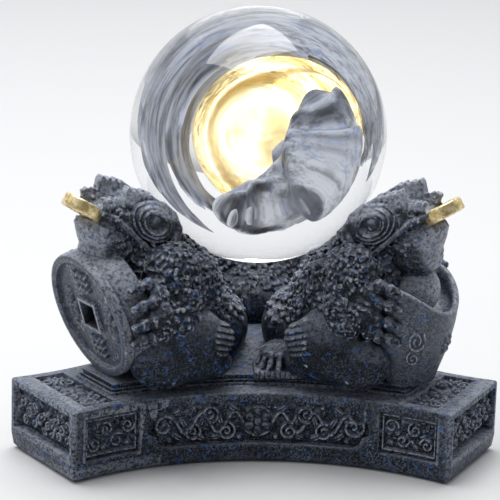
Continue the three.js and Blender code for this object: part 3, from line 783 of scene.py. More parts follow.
def box_tool(name, low, high, azimuth):
    (x0, y0, z0), (x1, y1, z1) = low, high
    rings = [[(x0, y0, z), (x1, y0, z), (x1, y1, z), (x0, y1, z)] for z in (z0, z1)]
    return lofted(name, rings, azimuth)


def top_corner(x, side):
    return (x, side * (arm_half_width(x) - TOP_MARGIN))


TOP_INNER = TIER_REACH + 1.8
TOP_OUTER = REACH - 6.2


def plinth_piece():
    rings = [
        stand_ring(PLINTH_FOOT, FOOT_INSET, FOOT_INSET),
        stand_ring(PLINTH_FOOT + FOOT_BEVEL / 4, FOOT_INSET / 3, FOOT_INSET / 3),
        stand_ring(PLINTH_FOOT + FOOT_BEVEL, 0.0, 0.0),
        stand_ring(PLINTH_TOP - 0.55, 0.0, 0.0),
        stand_ring(PLINTH_TOP - 0.16, 0.16, 0.16),
        stand_ring(PLINTH_TOP, 0.55, 0.55),
    ]
    piece = lofted("plinth_casting", rings)
    tools = []
    for azimuth in SIDES.values():
        tools.append(side_window("window", -WINDOW_HALF, WINDOW_HALF, True, azimuth))
        tools.append(side_window("window", *END_WINDOW, False, azimuth))
        tools.append(side_window("window", -END_WINDOW[1], -END_WINDOW[0], False, azimuth))
    for azimuth in ARMS.values():
        low = (REACH - END_DEPTH - 0.4, -END_HALF, END_LOW)
        tools.append(box_tool("pocket", low, (REACH + 2, END_HALF, END_HIGH), azimuth))
        corners = [top_corner(TOP_INNER, -1), top_corner(TOP_OUTER, -1), top_corner(TOP_OUTER, 1), top_corner(TOP_INNER, 1)]
        rings = [[(x, y, z) for x, y in corners] for z in (PLINTH_TOP - TOP_DEPTH - 0.3, PLINTH_TOP + 2)]
        tools.append(lofted("tray", rings, azimuth))
    combine(piece, tools)
    bevel(piece, 0.3)
    return finish_piece(piece, STONE, "stand", "resin", "plinth")


HUB_RADIUS, HUB_HEIGHT, HUB_SHARE = 20.0, 6.0, 0.45
BLOCK_REACH, BLOCK_DEPTH, BLOCK_ASIDE, BLOCK_HALF, BLOCK_RISE = 28.8, 12.8, 6.25, 7.25, 1.7
FLUTES = 9


def foot_block(azimuth):
    """A block with a fluted face, for a small foot."""
    across = np.linspace(-BLOCK_HALF, BLOCK_HALF, 12 * FLUTES + 1)
    flute = 0.5 * np.abs(np.sin(FLUTES * math.pi * (across + BLOCK_HALF) / (2 * BLOCK_HALF))) ** 0.7 - 0.5
    rings = []
    for z, drawn in ((TIER_TOP - 0.5, 0.0), (TIER_TOP + BLOCK_RISE - 0.4, 0.0), (TIER_TOP + BLOCK_RISE, 0.4)):
        front = [(BLOCK_REACH - drawn + f, BLOCK_ASIDE + u * (1 - drawn / BLOCK_HALF), z) for u, f in zip(across, flute)]
        back = BLOCK_REACH - BLOCK_DEPTH
        rings.append(front + [(back, front[-1][1], z), (back, front[0][1], z)])
    return lofted("foot_block", rings, azimuth)


def tier_piece():
    steps = [(PLINTH_TOP - 0.2, 0.0), (23.35, 0.0), (23.5, 0.15), (23.5, 0.75), (24.2, 0.75), (24.35, 0.9), (24.35, 1.5), (TIER_TOP - 0.2, 1.5), (TIER_TOP, 1.7)]
    rings = [stand_ring(z, TIER_SETBACK + inset, TIER_INSET + inset, 1.2) for z, inset in steps]
    piece = lofted("upper_tier_casting", rings)
    shares = np.linspace(0, 1, 24)
    mound = [(0.0, TIER_TOP - 0.5), (HUB_RADIUS, TIER_TOP - 0.5)]
    mound += [(HUB_RADIUS * (1 - (1 - HUB_SHARE) * t**0.8), TIER_TOP + HUB_HEIGHT * math.sin(t * math.pi / 2)) for t in shares]
    mound += [(HUB_RADIUS * HUB_SHARE * k, TIER_TOP + HUB_HEIGHT) for k in (0.7, 0.35, 0.0)]

    def rough(p, q, height):
        return 0.18 * value_noise(p, q, np.full_like(p, height), 1.6, 77)

    hub = revolved("hub", mound, 96, lambda p, q, h: (p, q, h), 0.0, rough)
    combine(piece, [hub] + [foot_block(azimuth) for azimuth in SIDES.values()], "UNION")
    shade(piece, 40)
    return finish_piece(piece, STONE, "stand", "resin", "upper_tier")


def fill_between(relief, seed, height, floor_line):
    """Fills a relief's ground with small lumps above a line, and roughens all of it."""
    still = np.zeros_like(relief.u)
    lump = value_noise(relief.u, relief.v, still, 1.5, seed + 40)
    upper = np.clip((relief.v - floor_line) / 1.2, 0, 1)
    relief.raise_to(height * upper * np.clip(0.35 + 1.3 * lump, 0, 1) ** 0.6)
    relief.height += 0.10 * value_noise(relief.u, relief.v, still, 0.8, seed)


def side_frieze(name, azimuth):
    relief = Relief((-SIDE_HALF + 0.1, SIDE_HALF - 0.1), (SIDE_LOW + 0.1, SIDE_HIGH - 0.1), 0.24)
    middle = SIDE_MIDDLE
    relief.flower(0, middle, 4.6, 6, 1.9, math.pi / 6)
    relief.stroke([(4.6 * math.cos(a), middle + 4.6 * math.sin(a)) for a in np.linspace(0, 2 * math.pi, 40)], 0.9, 0.9)
    for hand in (-1, 1):
        us = np.linspace(4.5, 31, 60)
        vine = [(hand * u, middle + 3.3 * math.sin((u - 4.5) * 0.62)) for u in us]
        relief.stroke(vine, 1.3, 1.5)
        relief.scroll(hand * 9.6, middle - 2.9, 2.9, 1.6, hand, 1.1, 1.7, 1.2)
        relief.scroll(hand * 14.8, middle + 2.9, 2.9, 1.6, -hand, 1.1, 1.7, -1.2)
        relief.scroll(hand * 20.2, middle - 2.7, 2.8, 1.6, hand, 1.1, 1.7, 1.2)
        relief.scroll(hand * 29.2, middle, 3.6, 1.3, -hand, 1.5, 1.9, 0.4)
        for u, v, angle in ((7.2, 4.3, 0.5), (12.2, -4.4, -0.4), (17.8, -4.6, 0.5), (24.6, 4.2, -0.5), (24.8, -3.9, 0.6), (11.6, 1.0, 1.2), (17.4, 0.6, -1.2), (22.9, 0.4, 1.0)):
            relief.leaf(hand * u, middle + v, 4.4, 2.0, hand * angle, 1.6)
        for u, v in ((5.6, -4.9), (19.6, 5.2), (15.0, 5.6), (26.9, 1.2), (27.2, -5.0)):
            relief.dome(hand * u, middle + v, 0.9, 0.9, 1.3)
        u_low, u_high = END_WINDOW[0] + 1.2, END_WINDOW[1] - 1.2
        border = [(u_low, SIDE_LOW + 1.2), (u_high, SIDE_LOW + 1.2), (u_high, SIDE_HIGH - 1.2), (u_low, SIDE_HIGH - 1.2), (u_low, SIDE_LOW + 1.2)]
        relief.stroke([(hand * u, v) for u, v in border], 0.7, 1.3)
        span = u_high - u_low
        for k, (share, v) in enumerate(((0.16, 2.2), (0.38, -2.0), (0.60, 2.0), (0.84, -2.2))):
            relief.scroll(hand * (u_low + span * share), middle + v, 2.3, 1.4, hand * (-1) ** k, 0.9, 1.5, k)
        for share, v in ((0.14, -3.4), (0.36, 3.6), (0.62, -3.6), (0.84, 3.2), (0.5, 0.2), (0.26, 0.0), (0.74, 0.0)):
            relief.leaf(hand * (u_low + span * share), middle + v, 2.9, 1.4, hand * (v * 0.3 + 0.4), 1.3)
    fill_between(relief, 5, 0.8, SIDE_LOW + 3.6)
    relief.height = np.minimum(relief.height, SIDE_DEPTH - 0.2)
    piece = slab(f"side_frieze_{name}", relief, side_place, azimuth, -0.3)
    return finish_piece(piece, CARVED, "stand", "resin", f"side_relief_{name}")


def end_frieze(name, azimuth):
    relief = Relief((-END_HALF + 0.1, END_HALF - 0.1), (END_LOW + 0.1, END_HIGH - 0.1), 0.24)
    middle = (END_LOW + END_HIGH) / 2
    clusters = [(-9.2, 0.4, 1.15), (1.8, -0.8, 0.9), (10.6, 0.6, 1.05)]
    for k, (u, v, size) in enumerate(clusters):
        for du, dv, r in ((0, 0, 3.0), (-3.4, 1.6, 2.4), (3.0, 2.2, 2.3), (-2.2, -2.9, 2.3), (2.8, -2.6, 2.1), (0.2, 3.8, 1.7), (-5.4, -0.9, 1.6), (5.2, -0.2, 1.5)):
            relief.dome(u + size * du, middle + v + size * dv, size * r, size * r * 0.9, 2.9, 0.3 * k, 0.45)
        for du, dv, hand in ((0, 0, 1), (-3.4, 1.6, -1), (2.9, 2.0, 1), (2.6, -2.5, -1), (-2.2, -2.7, 1)):
            turns = np.linspace(0, 2.4 * math.pi, 26)
            radii = 1.9 * size * (1 - 0.75 * turns / turns[-1])
            curl = np.stack([u + size * du + radii * np.cos(hand * turns), middle + v + size * dv + radii * np.sin(hand * turns)], 1)
            relief.groove(curl, 0.62, 1.2)
    fill_between(relief, 6, 1.2, END_LOW + 2.0)

    def place(u, v, h):
        return REACH - END_DEPTH + h, u, v

    piece = slab(f"end_frieze_{name}", relief, place, azimuth, -0.3)
    return finish_piece(piece, CARVED, "stand", "resin", f"end_relief_{name}")


def top_frieze(name, azimuth):
    relief = Relief((TOP_INNER + 0.1, TOP_OUTER - 0.1), (-1.0, 1.0), 0.24)
    half = np.array([arm_half_width(x) - TOP_MARGIN - 0.1 for x in relief.us])
    steps = int(2 * half.max() / 0.24)
    relief.vs = np.linspace(-1, 1, steps)
    share = relief.vs[None, :]
    relief.u = np.repeat(relief.us[:, None], steps, 1)
    relief.v = half[:, None] * share
    relief.height = np.zeros_like(relief.u)
    middle = (TOP_INNER + TOP_OUTER) / 2
    relief.flower(middle, 0, 4.4, 6, 1.2, 0.2)
    for hand in (-1, 1):
        relief.scroll(middle - 2.4, hand * 7.4, 2.5, 1.5, hand, 1.0, 1.2, 0.4)
        relief.scroll(middle + 2.9, hand * 10.2, 2.5, 1.5, -hand, 1.0, 1.2, 2.0)
        relief.scroll(middle + 3.2, hand * 4.8, 1.9, 1.3, hand, 0.9, 1.1, 1.0)
        relief.flower(middle - 1.6, hand * 12.2, 2.7, 5, 1.1, 0.9)
        for u, v, angle in ((-4.4, 3.4, 0.4), (4.6, 14.6, 1.0), (-4.6, 10.6, -0.5), (0.4, 14.6, 1.6), (5.0, 7.4, 0.1)):
            relief.leaf(middle + u, hand * v, 3.2, 1.5, hand * angle, 1.1)
    relief.height += 0.06 * value_noise(relief.u, relief.v, np.zeros_like(relief.u), 0.9, 7)

    def place(u, v, h):
        return u, v, PLINTH_TOP - TOP_DEPTH + h

    piece = slab(f"top_frieze_{name}", relief, place, azimuth, -0.2)
    return finish_piece(piece, CARVED, "stand", "resin", f"top_relief_{name}")


def pad_piece():
    rings = [stand_ring(z, 4 + inset, 4 + inset) for z, inset in ((0.0, 0.25), (0.2, 0.0), (0.85, 0.0), (1.0, 0.2))]
    piece = lofted("felt_pad", rings)
    return finish_piece(piece, FELT, "stand", "felt", "base_pad")


def ball_piece():
    steps = 128
    angles = np.linspace(0, math.pi, steps)
    profile = [(BALL_RADIUS * math.sin(a), BALL_CENTRE - BALL_RADIUS * math.cos(a)) for a in angles]
    profile[0], profile[-1] = (0.0, profile[0][1]), (0.0, profile[-1][1])
    piece = revolved("crystal_sphere", profile, 2 * steps, lambda p, q, h: (p, q, h))
    return finish_piece(piece, GLASS, "ball", "glass", "crystal_ball")


# ---------------------------------------------------------------- treasures

DRUM_RADIUS, DRUM_LENGTH, DRUM_RIM, DRUM_FIELD = 20.4, 12.0, 2.6, 1.6
DRUM_TILT = math.radians(17)
DRUM_HOLE, DRUM_BORDER = 3.9, 5.0
DRUM_NORMAL = np.array([math.cos(DRUM_TILT), 0.0, -math.sin(DRUM_TILT)])
DRUM_UP = np.array([math.sin(DRUM_TILT), 0.0, math.cos(DRUM_TILT)])
DRUM_FACE = np.array([60.5, 0.0, SOLE + DRUM_RADIUS * math.cos(DRUM_TILT)])


def drum_place(p, q, h):
    return DRUM_FACE + DRUM_NORMAL * h + DRUM_UP * q + np.array([0.0, p, 0.0])


def square_tool(half, low, high):
    """A square bar through the drum's middle, half across, between two heights over the face."""
    corners = [(-half, -half), (half, -half), (half, half), (-half, half)]
    return lofted("square", [[drum_place(p, q, h) for p, q in corners] for h in (low, high)], ARMS["left"])


def drum_piece():
    motif = Relief((-DRUM_RADIUS, DRUM_RADIUS), (-DRUM_RADIUS, DRUM_RADIUS), 0.14)
    for hand in (-1, 1):
        motif.flower(hand * 11.4, 0.3, 3.9, 6, 1.4, 0.2)
        motif.leaf(hand * 11.4, 5.6, 4.2, 1.7, 0.3 * hand, 1.2)
        motif.leaf(hand * 11.4, -5.2, 4.2, 1.7, -0.3 * hand, 1.2)
        for k in range(3):
            wave = [(-3.6 + 1.2 * j, hand * (8.8 + 2.4 * k) + 0.55 * (-1) ** j) for j in range(7)]
            motif.stroke(wave, 1.1, 1.3)
    motif.height = np.minimum(motif.height, DRUM_FIELD - 0.1)
    inner = DRUM_RADIUS - DRUM_RIM

    def lift(p, q, height):
        if height < -0.01:
            return np.zeros_like(p)
        i = np.clip(np.round((p + DRUM_RADIUS) / 0.14).astype(int), 0, motif.u.shape[0] - 1)
        j = np.clip(np.round((q + DRUM_RADIUS) / 0.14).astype(int), 0, motif.u.shape[1] - 1)
        rise = -DRUM_FIELD + motif.height[i, j] + 0.05 * value_noise(p, q, np.zeros_like(p), 1.1, 9)
        outside = np.interp(np.hypot(p, q), [inner - 0.3, inner], [1, 0])
        crown = 0.35 * (1 - ((np.hypot(p, q) - inner - DRUM_RIM / 2) / (DRUM_RIM / 2)) ** 2)
        return rise * outside + np.clip(crown, 0, 1) * (1 - outside)

    rear = -DRUM_LENGTH
    steps = [(0.0, rear), (-1.8, rear), (-0.7, rear + 0.3), (-0.3, rear + 1.0), (-0.3, -3.6), (-0.5, -3.3), (-0.5, -2.9), (0.0, -2.6), (0.0, -0.9), (-0.15, -0.35)]
    profile = [(0.0, rear)] + [(DRUM_RADIUS + drawn, h) for drawn, h in steps[1:]]
    rims = [(r, 0.0) for r in np.linspace(DRUM_RADIUS - 0.4, inner, 14)]
    field = [(r, 0.0) for r in np.linspace(inner - 0.1, 0.12, 110)]
    piece = revolved("coin_drum_carved", profile + rims + field + [(0.0, 0.0)], 400, drum_place, ARMS["left"], lift)
    combine(piece, [square_tool(DRUM_BORDER, -DRUM_FIELD - 1.0, -0.15)], "UNION")
    combine(piece, [square_tool(DRUM_HOLE, -5.5, 2.0)])
    shade(piece, 50)
    return finish_piece(piece, METALLIC, "stand", "resin", "coin_drum")


INGOT_REACH, INGOT_HALF_LENGTH, INGOT_HALF_DEPTH = 54.5, 17.5, 13.5
INGOT_HEIGHT, INGOT_HORN, INGOT_WALL = 22.5, 9.5, 2.2
INGOT_SHARES, INGOT_SIZES = [0, 0.12, 0.5, 0.8, 1], [0.56, 0.62, 0.84, 0.95, 1]
BOWL_FLOOR = 0.85
PEARL_RADIUS = 8.4
PEARL_CENTRE = box_mm("ingot_pearl")[1][2] - PEARL_RADIUS


def ingot_piece():
    steps = 360
    angles = 2 * math.pi * np.arange(steps) / steps
    around = np.hypot(INGOT_HALF_DEPTH * np.cos(angles), INGOT_HALF_LENGTH * np.sin(angles)) * angles
    relief = Relief((-60.0, 60.0), (0.0, INGOT_HEIGHT), 0.2)
    ring = []

    def add_ring(share, size, offset=0.0, drop=0.0, bump=None):
        horn = INGOT_HORN * share**6 * np.sin(angles) ** 2
        out = offset + (bump if bump is not None else 0.0)
        x = INGOT_REACH + (INGOT_HALF_DEPTH * size + out) * np.cos(angles)
        y = (INGOT_HALF_LENGTH * size + out) * np.sin(angles)
        z = SOLE - 0.3 + INGOT_HEIGHT * share + horn - drop
        ring.append(np.stack([x, y, z], 1))

    shares = np.linspace(0.0, 1.0, 90)
    for side in (-1, 1):
        relief.scroll(side * 15.0, 15.6, 3.2, 1.8, side, 1.0, 0.9, 0.6)
        relief.scroll(side * 15.8, 10.2, 2.5, 1.5, -side, 0.9, 0.8, 2.2)
        relief.leaf(side * 12.2, 12.4, 3.4, 1.5, side * 1.2, 0.7)
    relief.flower(0.0, 12.5, 3.4, 6, 1.0)
    turn = np.where(angles > math.pi, angles - 2 * math.pi, angles)
    u = turn * 15.4
    for share in shares:
        size = np.interp(share, INGOT_SHARES, INGOT_SIZES)
        i = np.clip(np.round((u + 60.0) / 0.2).astype(int), 0, relief.u.shape[0] - 1)
        j = min(int(round(share * INGOT_HEIGHT / 0.2)), relief.u.shape[1] - 1)
        add_ring(share, size, bump=relief.height[i, j])
    inner = 1 - INGOT_WALL / INGOT_HALF_DEPTH
    for t in np.linspace(0.15, 1, 8):
        add_ring(1.0, 1.0, -INGOT_WALL * t, -0.9 * math.sin(math.pi * t) ** 0.7)
    for t in np.linspace(0.1, 1.0, 18):
        share = 1 - (1 - BOWL_FLOOR) * math.sin(t * math.pi / 2)
        add_ring(share, inner * (1 - 0.55 * t * t))
    points = np.concatenate(ring)
    faces = skin_faces(len(ring), steps)
    faces.append(tuple(range(steps))[::-1])
    faces.append(tuple(range(len(points) - steps, len(points))))
    piece = add_mesh("ingot_carved", points, faces, ARMS["right"])
    return finish_piece(piece, METALLIC, "stand", "resin", "ingot")


def pearl_piece():
    angles = np.linspace(0, math.pi, 150)
    radii = PEARL_RADIUS - 0.14 + 0.07 * np.sin(angles * PEARL_RADIUS * 2 * math.pi / 0.85)
    profile = [(r * math.sin(a), -r * math.cos(a)) for a, r in zip(angles, radii)]
    profile[0], profile[-1] = (0.0, profile[0][1]), (0.0, profile[-1][1])

    def place(p, q, h):
        return INGOT_REACH + p * 0.82 + h * 0.57, q, PEARL_CENTRE + h * 0.82 - p * 0.57

    piece = revolved("ingot_pearl_carved", profile, 128, place, ARMS["right"])
    return finish_piece(piece, PEARLY, "stand", "resin", "ingot_pearl")


STACK_RADIUS, STACK_THICKNESS = 16.0, 6.0


def stack_piece(level):
    name = f"stack_coin_{level}"
    low, high = box_mm(name)
    middle = (low + high) / 2
    half = STACK_THICKNESS / 2
    profile = [(0.0, -half), (15.2, -half), (15.8, -half + 0.5), (16.0, -half + 1.2), (15.6, -half + 1.8), (15.6, half - 1.8), (16.0, half - 1.2), (15.8, half - 0.5), (15.2, half), (13.6, half), (13.1, half - 0.7), (6.0, half - 0.7), (0.0, half - 0.7)]

    def place(p, q, h):
        return middle[1] + p, -middle[0] + q, middle[2] + h

    piece = revolved(f"stack_coin_carved_{level}", profile, 120, place, ARMS["rear"])
    piece.data.set_sharp_from_angle(angle=math.radians(45))
    return finish_piece(piece, METALLIC, "stand", "resin", name)


COIN_RADIUS, COIN_THICKNESS, COIN_HOLE = 6.5, 4.0, 1.2
COIN_TILT = math.radians(33)
COIN_CENTRE = np.array([63.0, 0.0, 80.0])


def mouth_coin_piece(name, azimuth):
    half = COIN_THICKNESS / 2

    def place(p, q, h):
        c, s = math.cos(COIN_TILT), math.sin(COIN_TILT)
        return COIN_CENTRE + np.array([p * c - h * s, q, p * s + h * c])

    def lift(p, q, height):
        reach = np.maximum(np.abs(p), np.abs(q))
        radius = np.hypot(p, q)
        hole = np.interp(reach, [COIN_HOLE - 0.1, COIN_HOLE + 0.1], [1, 0])
        border = np.interp(reach, [COIN_HOLE + 0.1, COIN_HOLE + 0.3, COIN_HOLE + 0.7, COIN_HOLE + 0.9], [0, 1, 1, 0])
        rim = np.interp(radius, [COIN_RADIUS - 1.5, COIN_RADIUS - 1.2], [0, 1])
        wear = 0.10 * value_noise(p, q, np.full_like(p, height), 1.3, 21)
        sign = 1.0 if height > 0 else -1.0
        sunk = 0.4 * np.clip(1 - border - rim, 0, 1) * (1 - hole) + 1.2 * hole
        return wear - sign * sunk

    ring = [(COIN_RADIUS - 0.35, 0.0), (COIN_RADIUS - 0.08, 0.3), (COIN_RADIUS, 0.8)]
    inward = np.linspace(COIN_RADIUS - 0.4, 0.06, 40)
    profile = [(0.0, -half)] + [(r, -half) for r in inward[::-1]]
    profile += [(r, -half + d) for r, d in ring] + [(r, half - d) for r, d in ring[::-1]]
    profile += [(r, half) for r in inward] + [(0.0, half)]
    piece = revolved(f"gold_coin_{name}", profile, 120, place, azimuth, lift)
    return finish_piece(piece, GOLD, "stand", "gold", f"mouth_coin_{name}")


# ---------------------------------------------------------------- toads, in an arm's frame


def cylinder_form(centre, axis, radius, half_length):
    axis = np.array(axis, np.float32)

    def distance(x, y, z):
        dx, dy, dz = x - centre[0], y - centre[1], z - centre[2]
        along = dx * axis[0] + dy * axis[1] + dz * axis[2]
        away = np.sqrt(np.maximum(dx * dx + dy * dy + dz * dz - along * along, 0))
        return np.maximum(away - radius, np.abs(along) - half_length)

    reach = math.hypot(radius, half_length)
    return distance, np.array(centre) - reach, np.array(centre) + reach


def ingot_form():
    def distance(x, y, z):
        share = np.clip((z - SOLE) / INGOT_HEIGHT, 0, 1)
        size = np.interp(share, INGOT_SHARES, INGOT_SIZES).astype(np.float32)
        along, across = (x - INGOT_REACH) / INGOT_HALF_DEPTH, y / INGOT_HALF_LENGTH
        radius = np.sqrt(along**2 + across**2)
        rim = SOLE + INGOT_HEIGHT + INGOT_HORN * np.clip(across / np.maximum(radius, 0.3), -1, 1) ** 2
        return np.maximum((radius - size) * INGOT_HALF_DEPTH, z - rim) + 0.3

    low = (INGOT_REACH - INGOT_HALF_DEPTH, -INGOT_HALF_LENGTH, SOLE)
    high = (INGOT_REACH + INGOT_HALF_DEPTH, INGOT_HALF_LENGTH, SOLE + INGOT_HEIGHT + INGOT_HORN)
    return distance, np.array(low), np.array(high)


DRUM_MIDDLE = DRUM_FACE - DRUM_NORMAL * DRUM_LENGTH / 2
PRESS = 0.25  # how far the flesh sinks into what it holds
TREASURE_FORMS = {
    "left": [cylinder_form(DRUM_MIDDLE, DRUM_NORMAL, DRUM_RADIUS - PRESS, DRUM_LENGTH / 2 - PRESS)],
    "right": [ingot_form(), egg((INGOT_REACH, 0, PEARL_CENTRE), (PEARL_RADIUS - PRESS,) * 3)],
    "rear": [cylinder_form((54.0, 0, SOLE + 12.5), (0, 0, 1), 14.8, 12.5 - PRESS)],
}
BALL_FORM = egg((0, 0, BALL_CENTRE), (BALL_RADIUS + 0.2,) * 3)
COIN_FORM = cylinder_form(COIN_CENTRE, (-math.sin(COIN_TILT), 0, math.cos(COIN_TILT)), COIN_RADIUS - 0.1, COIN_THICKNESS / 2 - 0.1)


def drum_half_width(z):
    from_axis = min(abs(z - DRUM_MIDDLE[2]), 0.9 * DRUM_RADIUS)
    return math.sqrt(DRUM_RADIUS**2 - from_axis**2)


def ingot_half_width(z):
    share = min(max((z - SOLE) / INGOT_HEIGHT, 0), 1)
    return INGOT_HALF_LENGTH * (0.7 + 0.23 * share)


GRIPS = {"left": drum_half_width, "right": ingot_half_width, "rear": lambda z: 14.8}


def bumpy(clay, seed, coarse, fine, keep):
    """Roughens the surface with noise where keep(x, y, z), from 0 to 1, lets it."""
    place, (x, y, z) = clay.everywhere()
    rough = coarse * value_noise(x, y, z, 2.4, seed) + fine * value_noise(x, y, z, 1.0, seed + 1)
    near = np.abs(clay.field[place]) < 3
    clay.field[place] -= (rough * keep(x, y, z) * near).astype(np.float32)


def step_between(value, low, high):
    t = np.clip((value - low) / (high - low), 0, 1)
    return t * t * (3 - 2 * t)


def curly(clay, seed, size, height, keep):
    """Raises branching ridges where keep(x, y, z), from 0 to 1, lets it."""
    place, (x, y, z) = clay.everywhere()
    wave = value_noise(x, y, z, size, seed)
    finer = value_noise(x, y, z, 0.55 * size, seed + 1)
    ridge = np.clip(1 - 4.5 * np.abs(wave + 0.35 * finer), -0.6, 1)
    near = np.abs(clay.field[place]) < 3
    clay.field[place] -= (height * ridge * keep(x, y, z) * near).astype(np.float32)


def hub_form():
    """The tier's mound and the block beside it, in an arm's frame."""
    share = (HUB_RADIUS * (1 - HUB_SHARE)) / HUB_HEIGHT

    def distance(x, y, z):
        slope = np.sqrt(x * x + y * y) - HUB_RADIUS + (z - TIER_TOP) * share
        return np.maximum(slope * 0.5, z - TIER_TOP - HUB_HEIGHT)

    return distance, np.array((0.0, -22.0, 20.0)), np.array((22.0, 22.0, TIER_TOP + HUB_HEIGHT))


def torso_clay(step):
    clay = Clay((3, -28, TIER_TOP - 0.2), (60, 28, 76), step)
    clay.add(egg((34, 0, 49.7), (26, 18, 17), 54), 3)
    clay.add(egg((43, 0, 58.7), (10, 15, 11)), 3)
    clay.add(egg((38.5, 0, 68.2), (8.5, 11.5, 7)), 3)
    clay.add(egg((18, 0, 36.7), (13, 14.5, 12.5)), 3)
    for hand in (-1, 1):
        clay.add(egg((31, hand * 13, 55), (9, 5, 8), 40), 2.5)
        clay.add(egg((42.0, hand * 16.0, 32.4), (12.5, 6.3, 8.5), 6), 2.0)
        clay.add(egg((33.4, hand * 17.4, 36.8), (11.6, 8.2, 11.3), 8), 0.7)
        clay.add(egg((25.6, hand * 19.3, 38.6), (4.5, 4.6, 5.2)), 0.6)
        clay.add(egg((27.0, hand * 17.5, 30.5), (6.5, 6.0, 5.0)), 1.5)
        ridge = [(45, 14.5, 62.5), (41, 16.0, 58.5), (36.5, 17.0, 53.5), (32, 17.8, 48.8), (28, 18.0, 45.2)]
        for (ax, ay, az), (bx, by, bz) in zip(ridge[:-1], ridge[1:]):
            for t in (0.0, 0.25, 0.5, 0.75):
                spot = (ax + (bx - ax) * t, hand * (ay + (by - ay) * t), az + (bz - az) * t)
                clay.add(egg(spot, (1.3, 1.3, 1.3)), 0.7)
    clay.add(bone((28, -17, 33.7), (17, -15.5, 31.2), 3.4), 1.5)
    clay.add(egg((15.5, -14.5, 31.0), (5.2, 5.2, 3.4)), 1.0)
    for x, y in ((11.6, -20.2), (14.2, -22.2), (17.2, -23.4), (20.4, -23.2)):
        root, knuckle = (x * 0.5 + 7.7, -15.6, 31.2), (x * 0.8 + 3.0, y + 3.4, 31.6)
        for form in chain([root, knuckle, (x, y, 28.4)], 1.4, 0.75):
            clay.add(form, 0.35)
        clay.add(egg(knuckle, (1.5, 1.5, 1.5)), 0.3)

    def bumps_let(x, y, z):
        back = step_between(z, 40, 46) * (1 - 0.5 * step_between(x, 50, 54))
        haunch = np.hypot((x - 33.4) / 12.5, (z - 36.8) / 12.3) < 1
        return np.where(haunch & (np.abs(y) > 12), 0.12, 0.2 + 0.8 * back)

    bumpy(clay, 3, 0.35, 0.30, bumps_let)
    curly(clay, 15, 2.3, 0.75, bumps_let)

    def on_back(point, normal):
        haunch = math.hypot((point[0] - 33.4) / 12.5, (point[2] - 36.8) / 12.3) < 1 and abs(point[1]) > 12
        return point[2] > 40 and point[0] < 50 and not haunch

    low, high = (8, -21, 38), (50, 21, 76)
    clay.warts(12, 1500, low, high, (0.45, 1.0), on_back, 0.55, 0.25)

    def knob_ribs(x, y, z):
        radius = np.sqrt((x - 25.6) ** 2 + (z - 38.6) ** 2)
        wave = np.abs(np.cos(math.pi * (z - 0.35 * (x - 25.6)) / 1.9)) ** 0.7 - 0.5
        return 1.1 * wave * (1 - step_between(radius, 4.6, 5.6)) * (np.abs(y) > 16.5)

    clay.push((19, -28, 31), (32, 28, 46), knob_ribs)
    clay.carve(hub_form(), 0.3)
    clay.carve(brick((BLOCK_REACH * 0.5 - 0.5, -17.8, TIER_TOP), (7.0, 6.6, BLOCK_RISE - 0.1), 0, -30, 0.1), 0.2)
    return clay


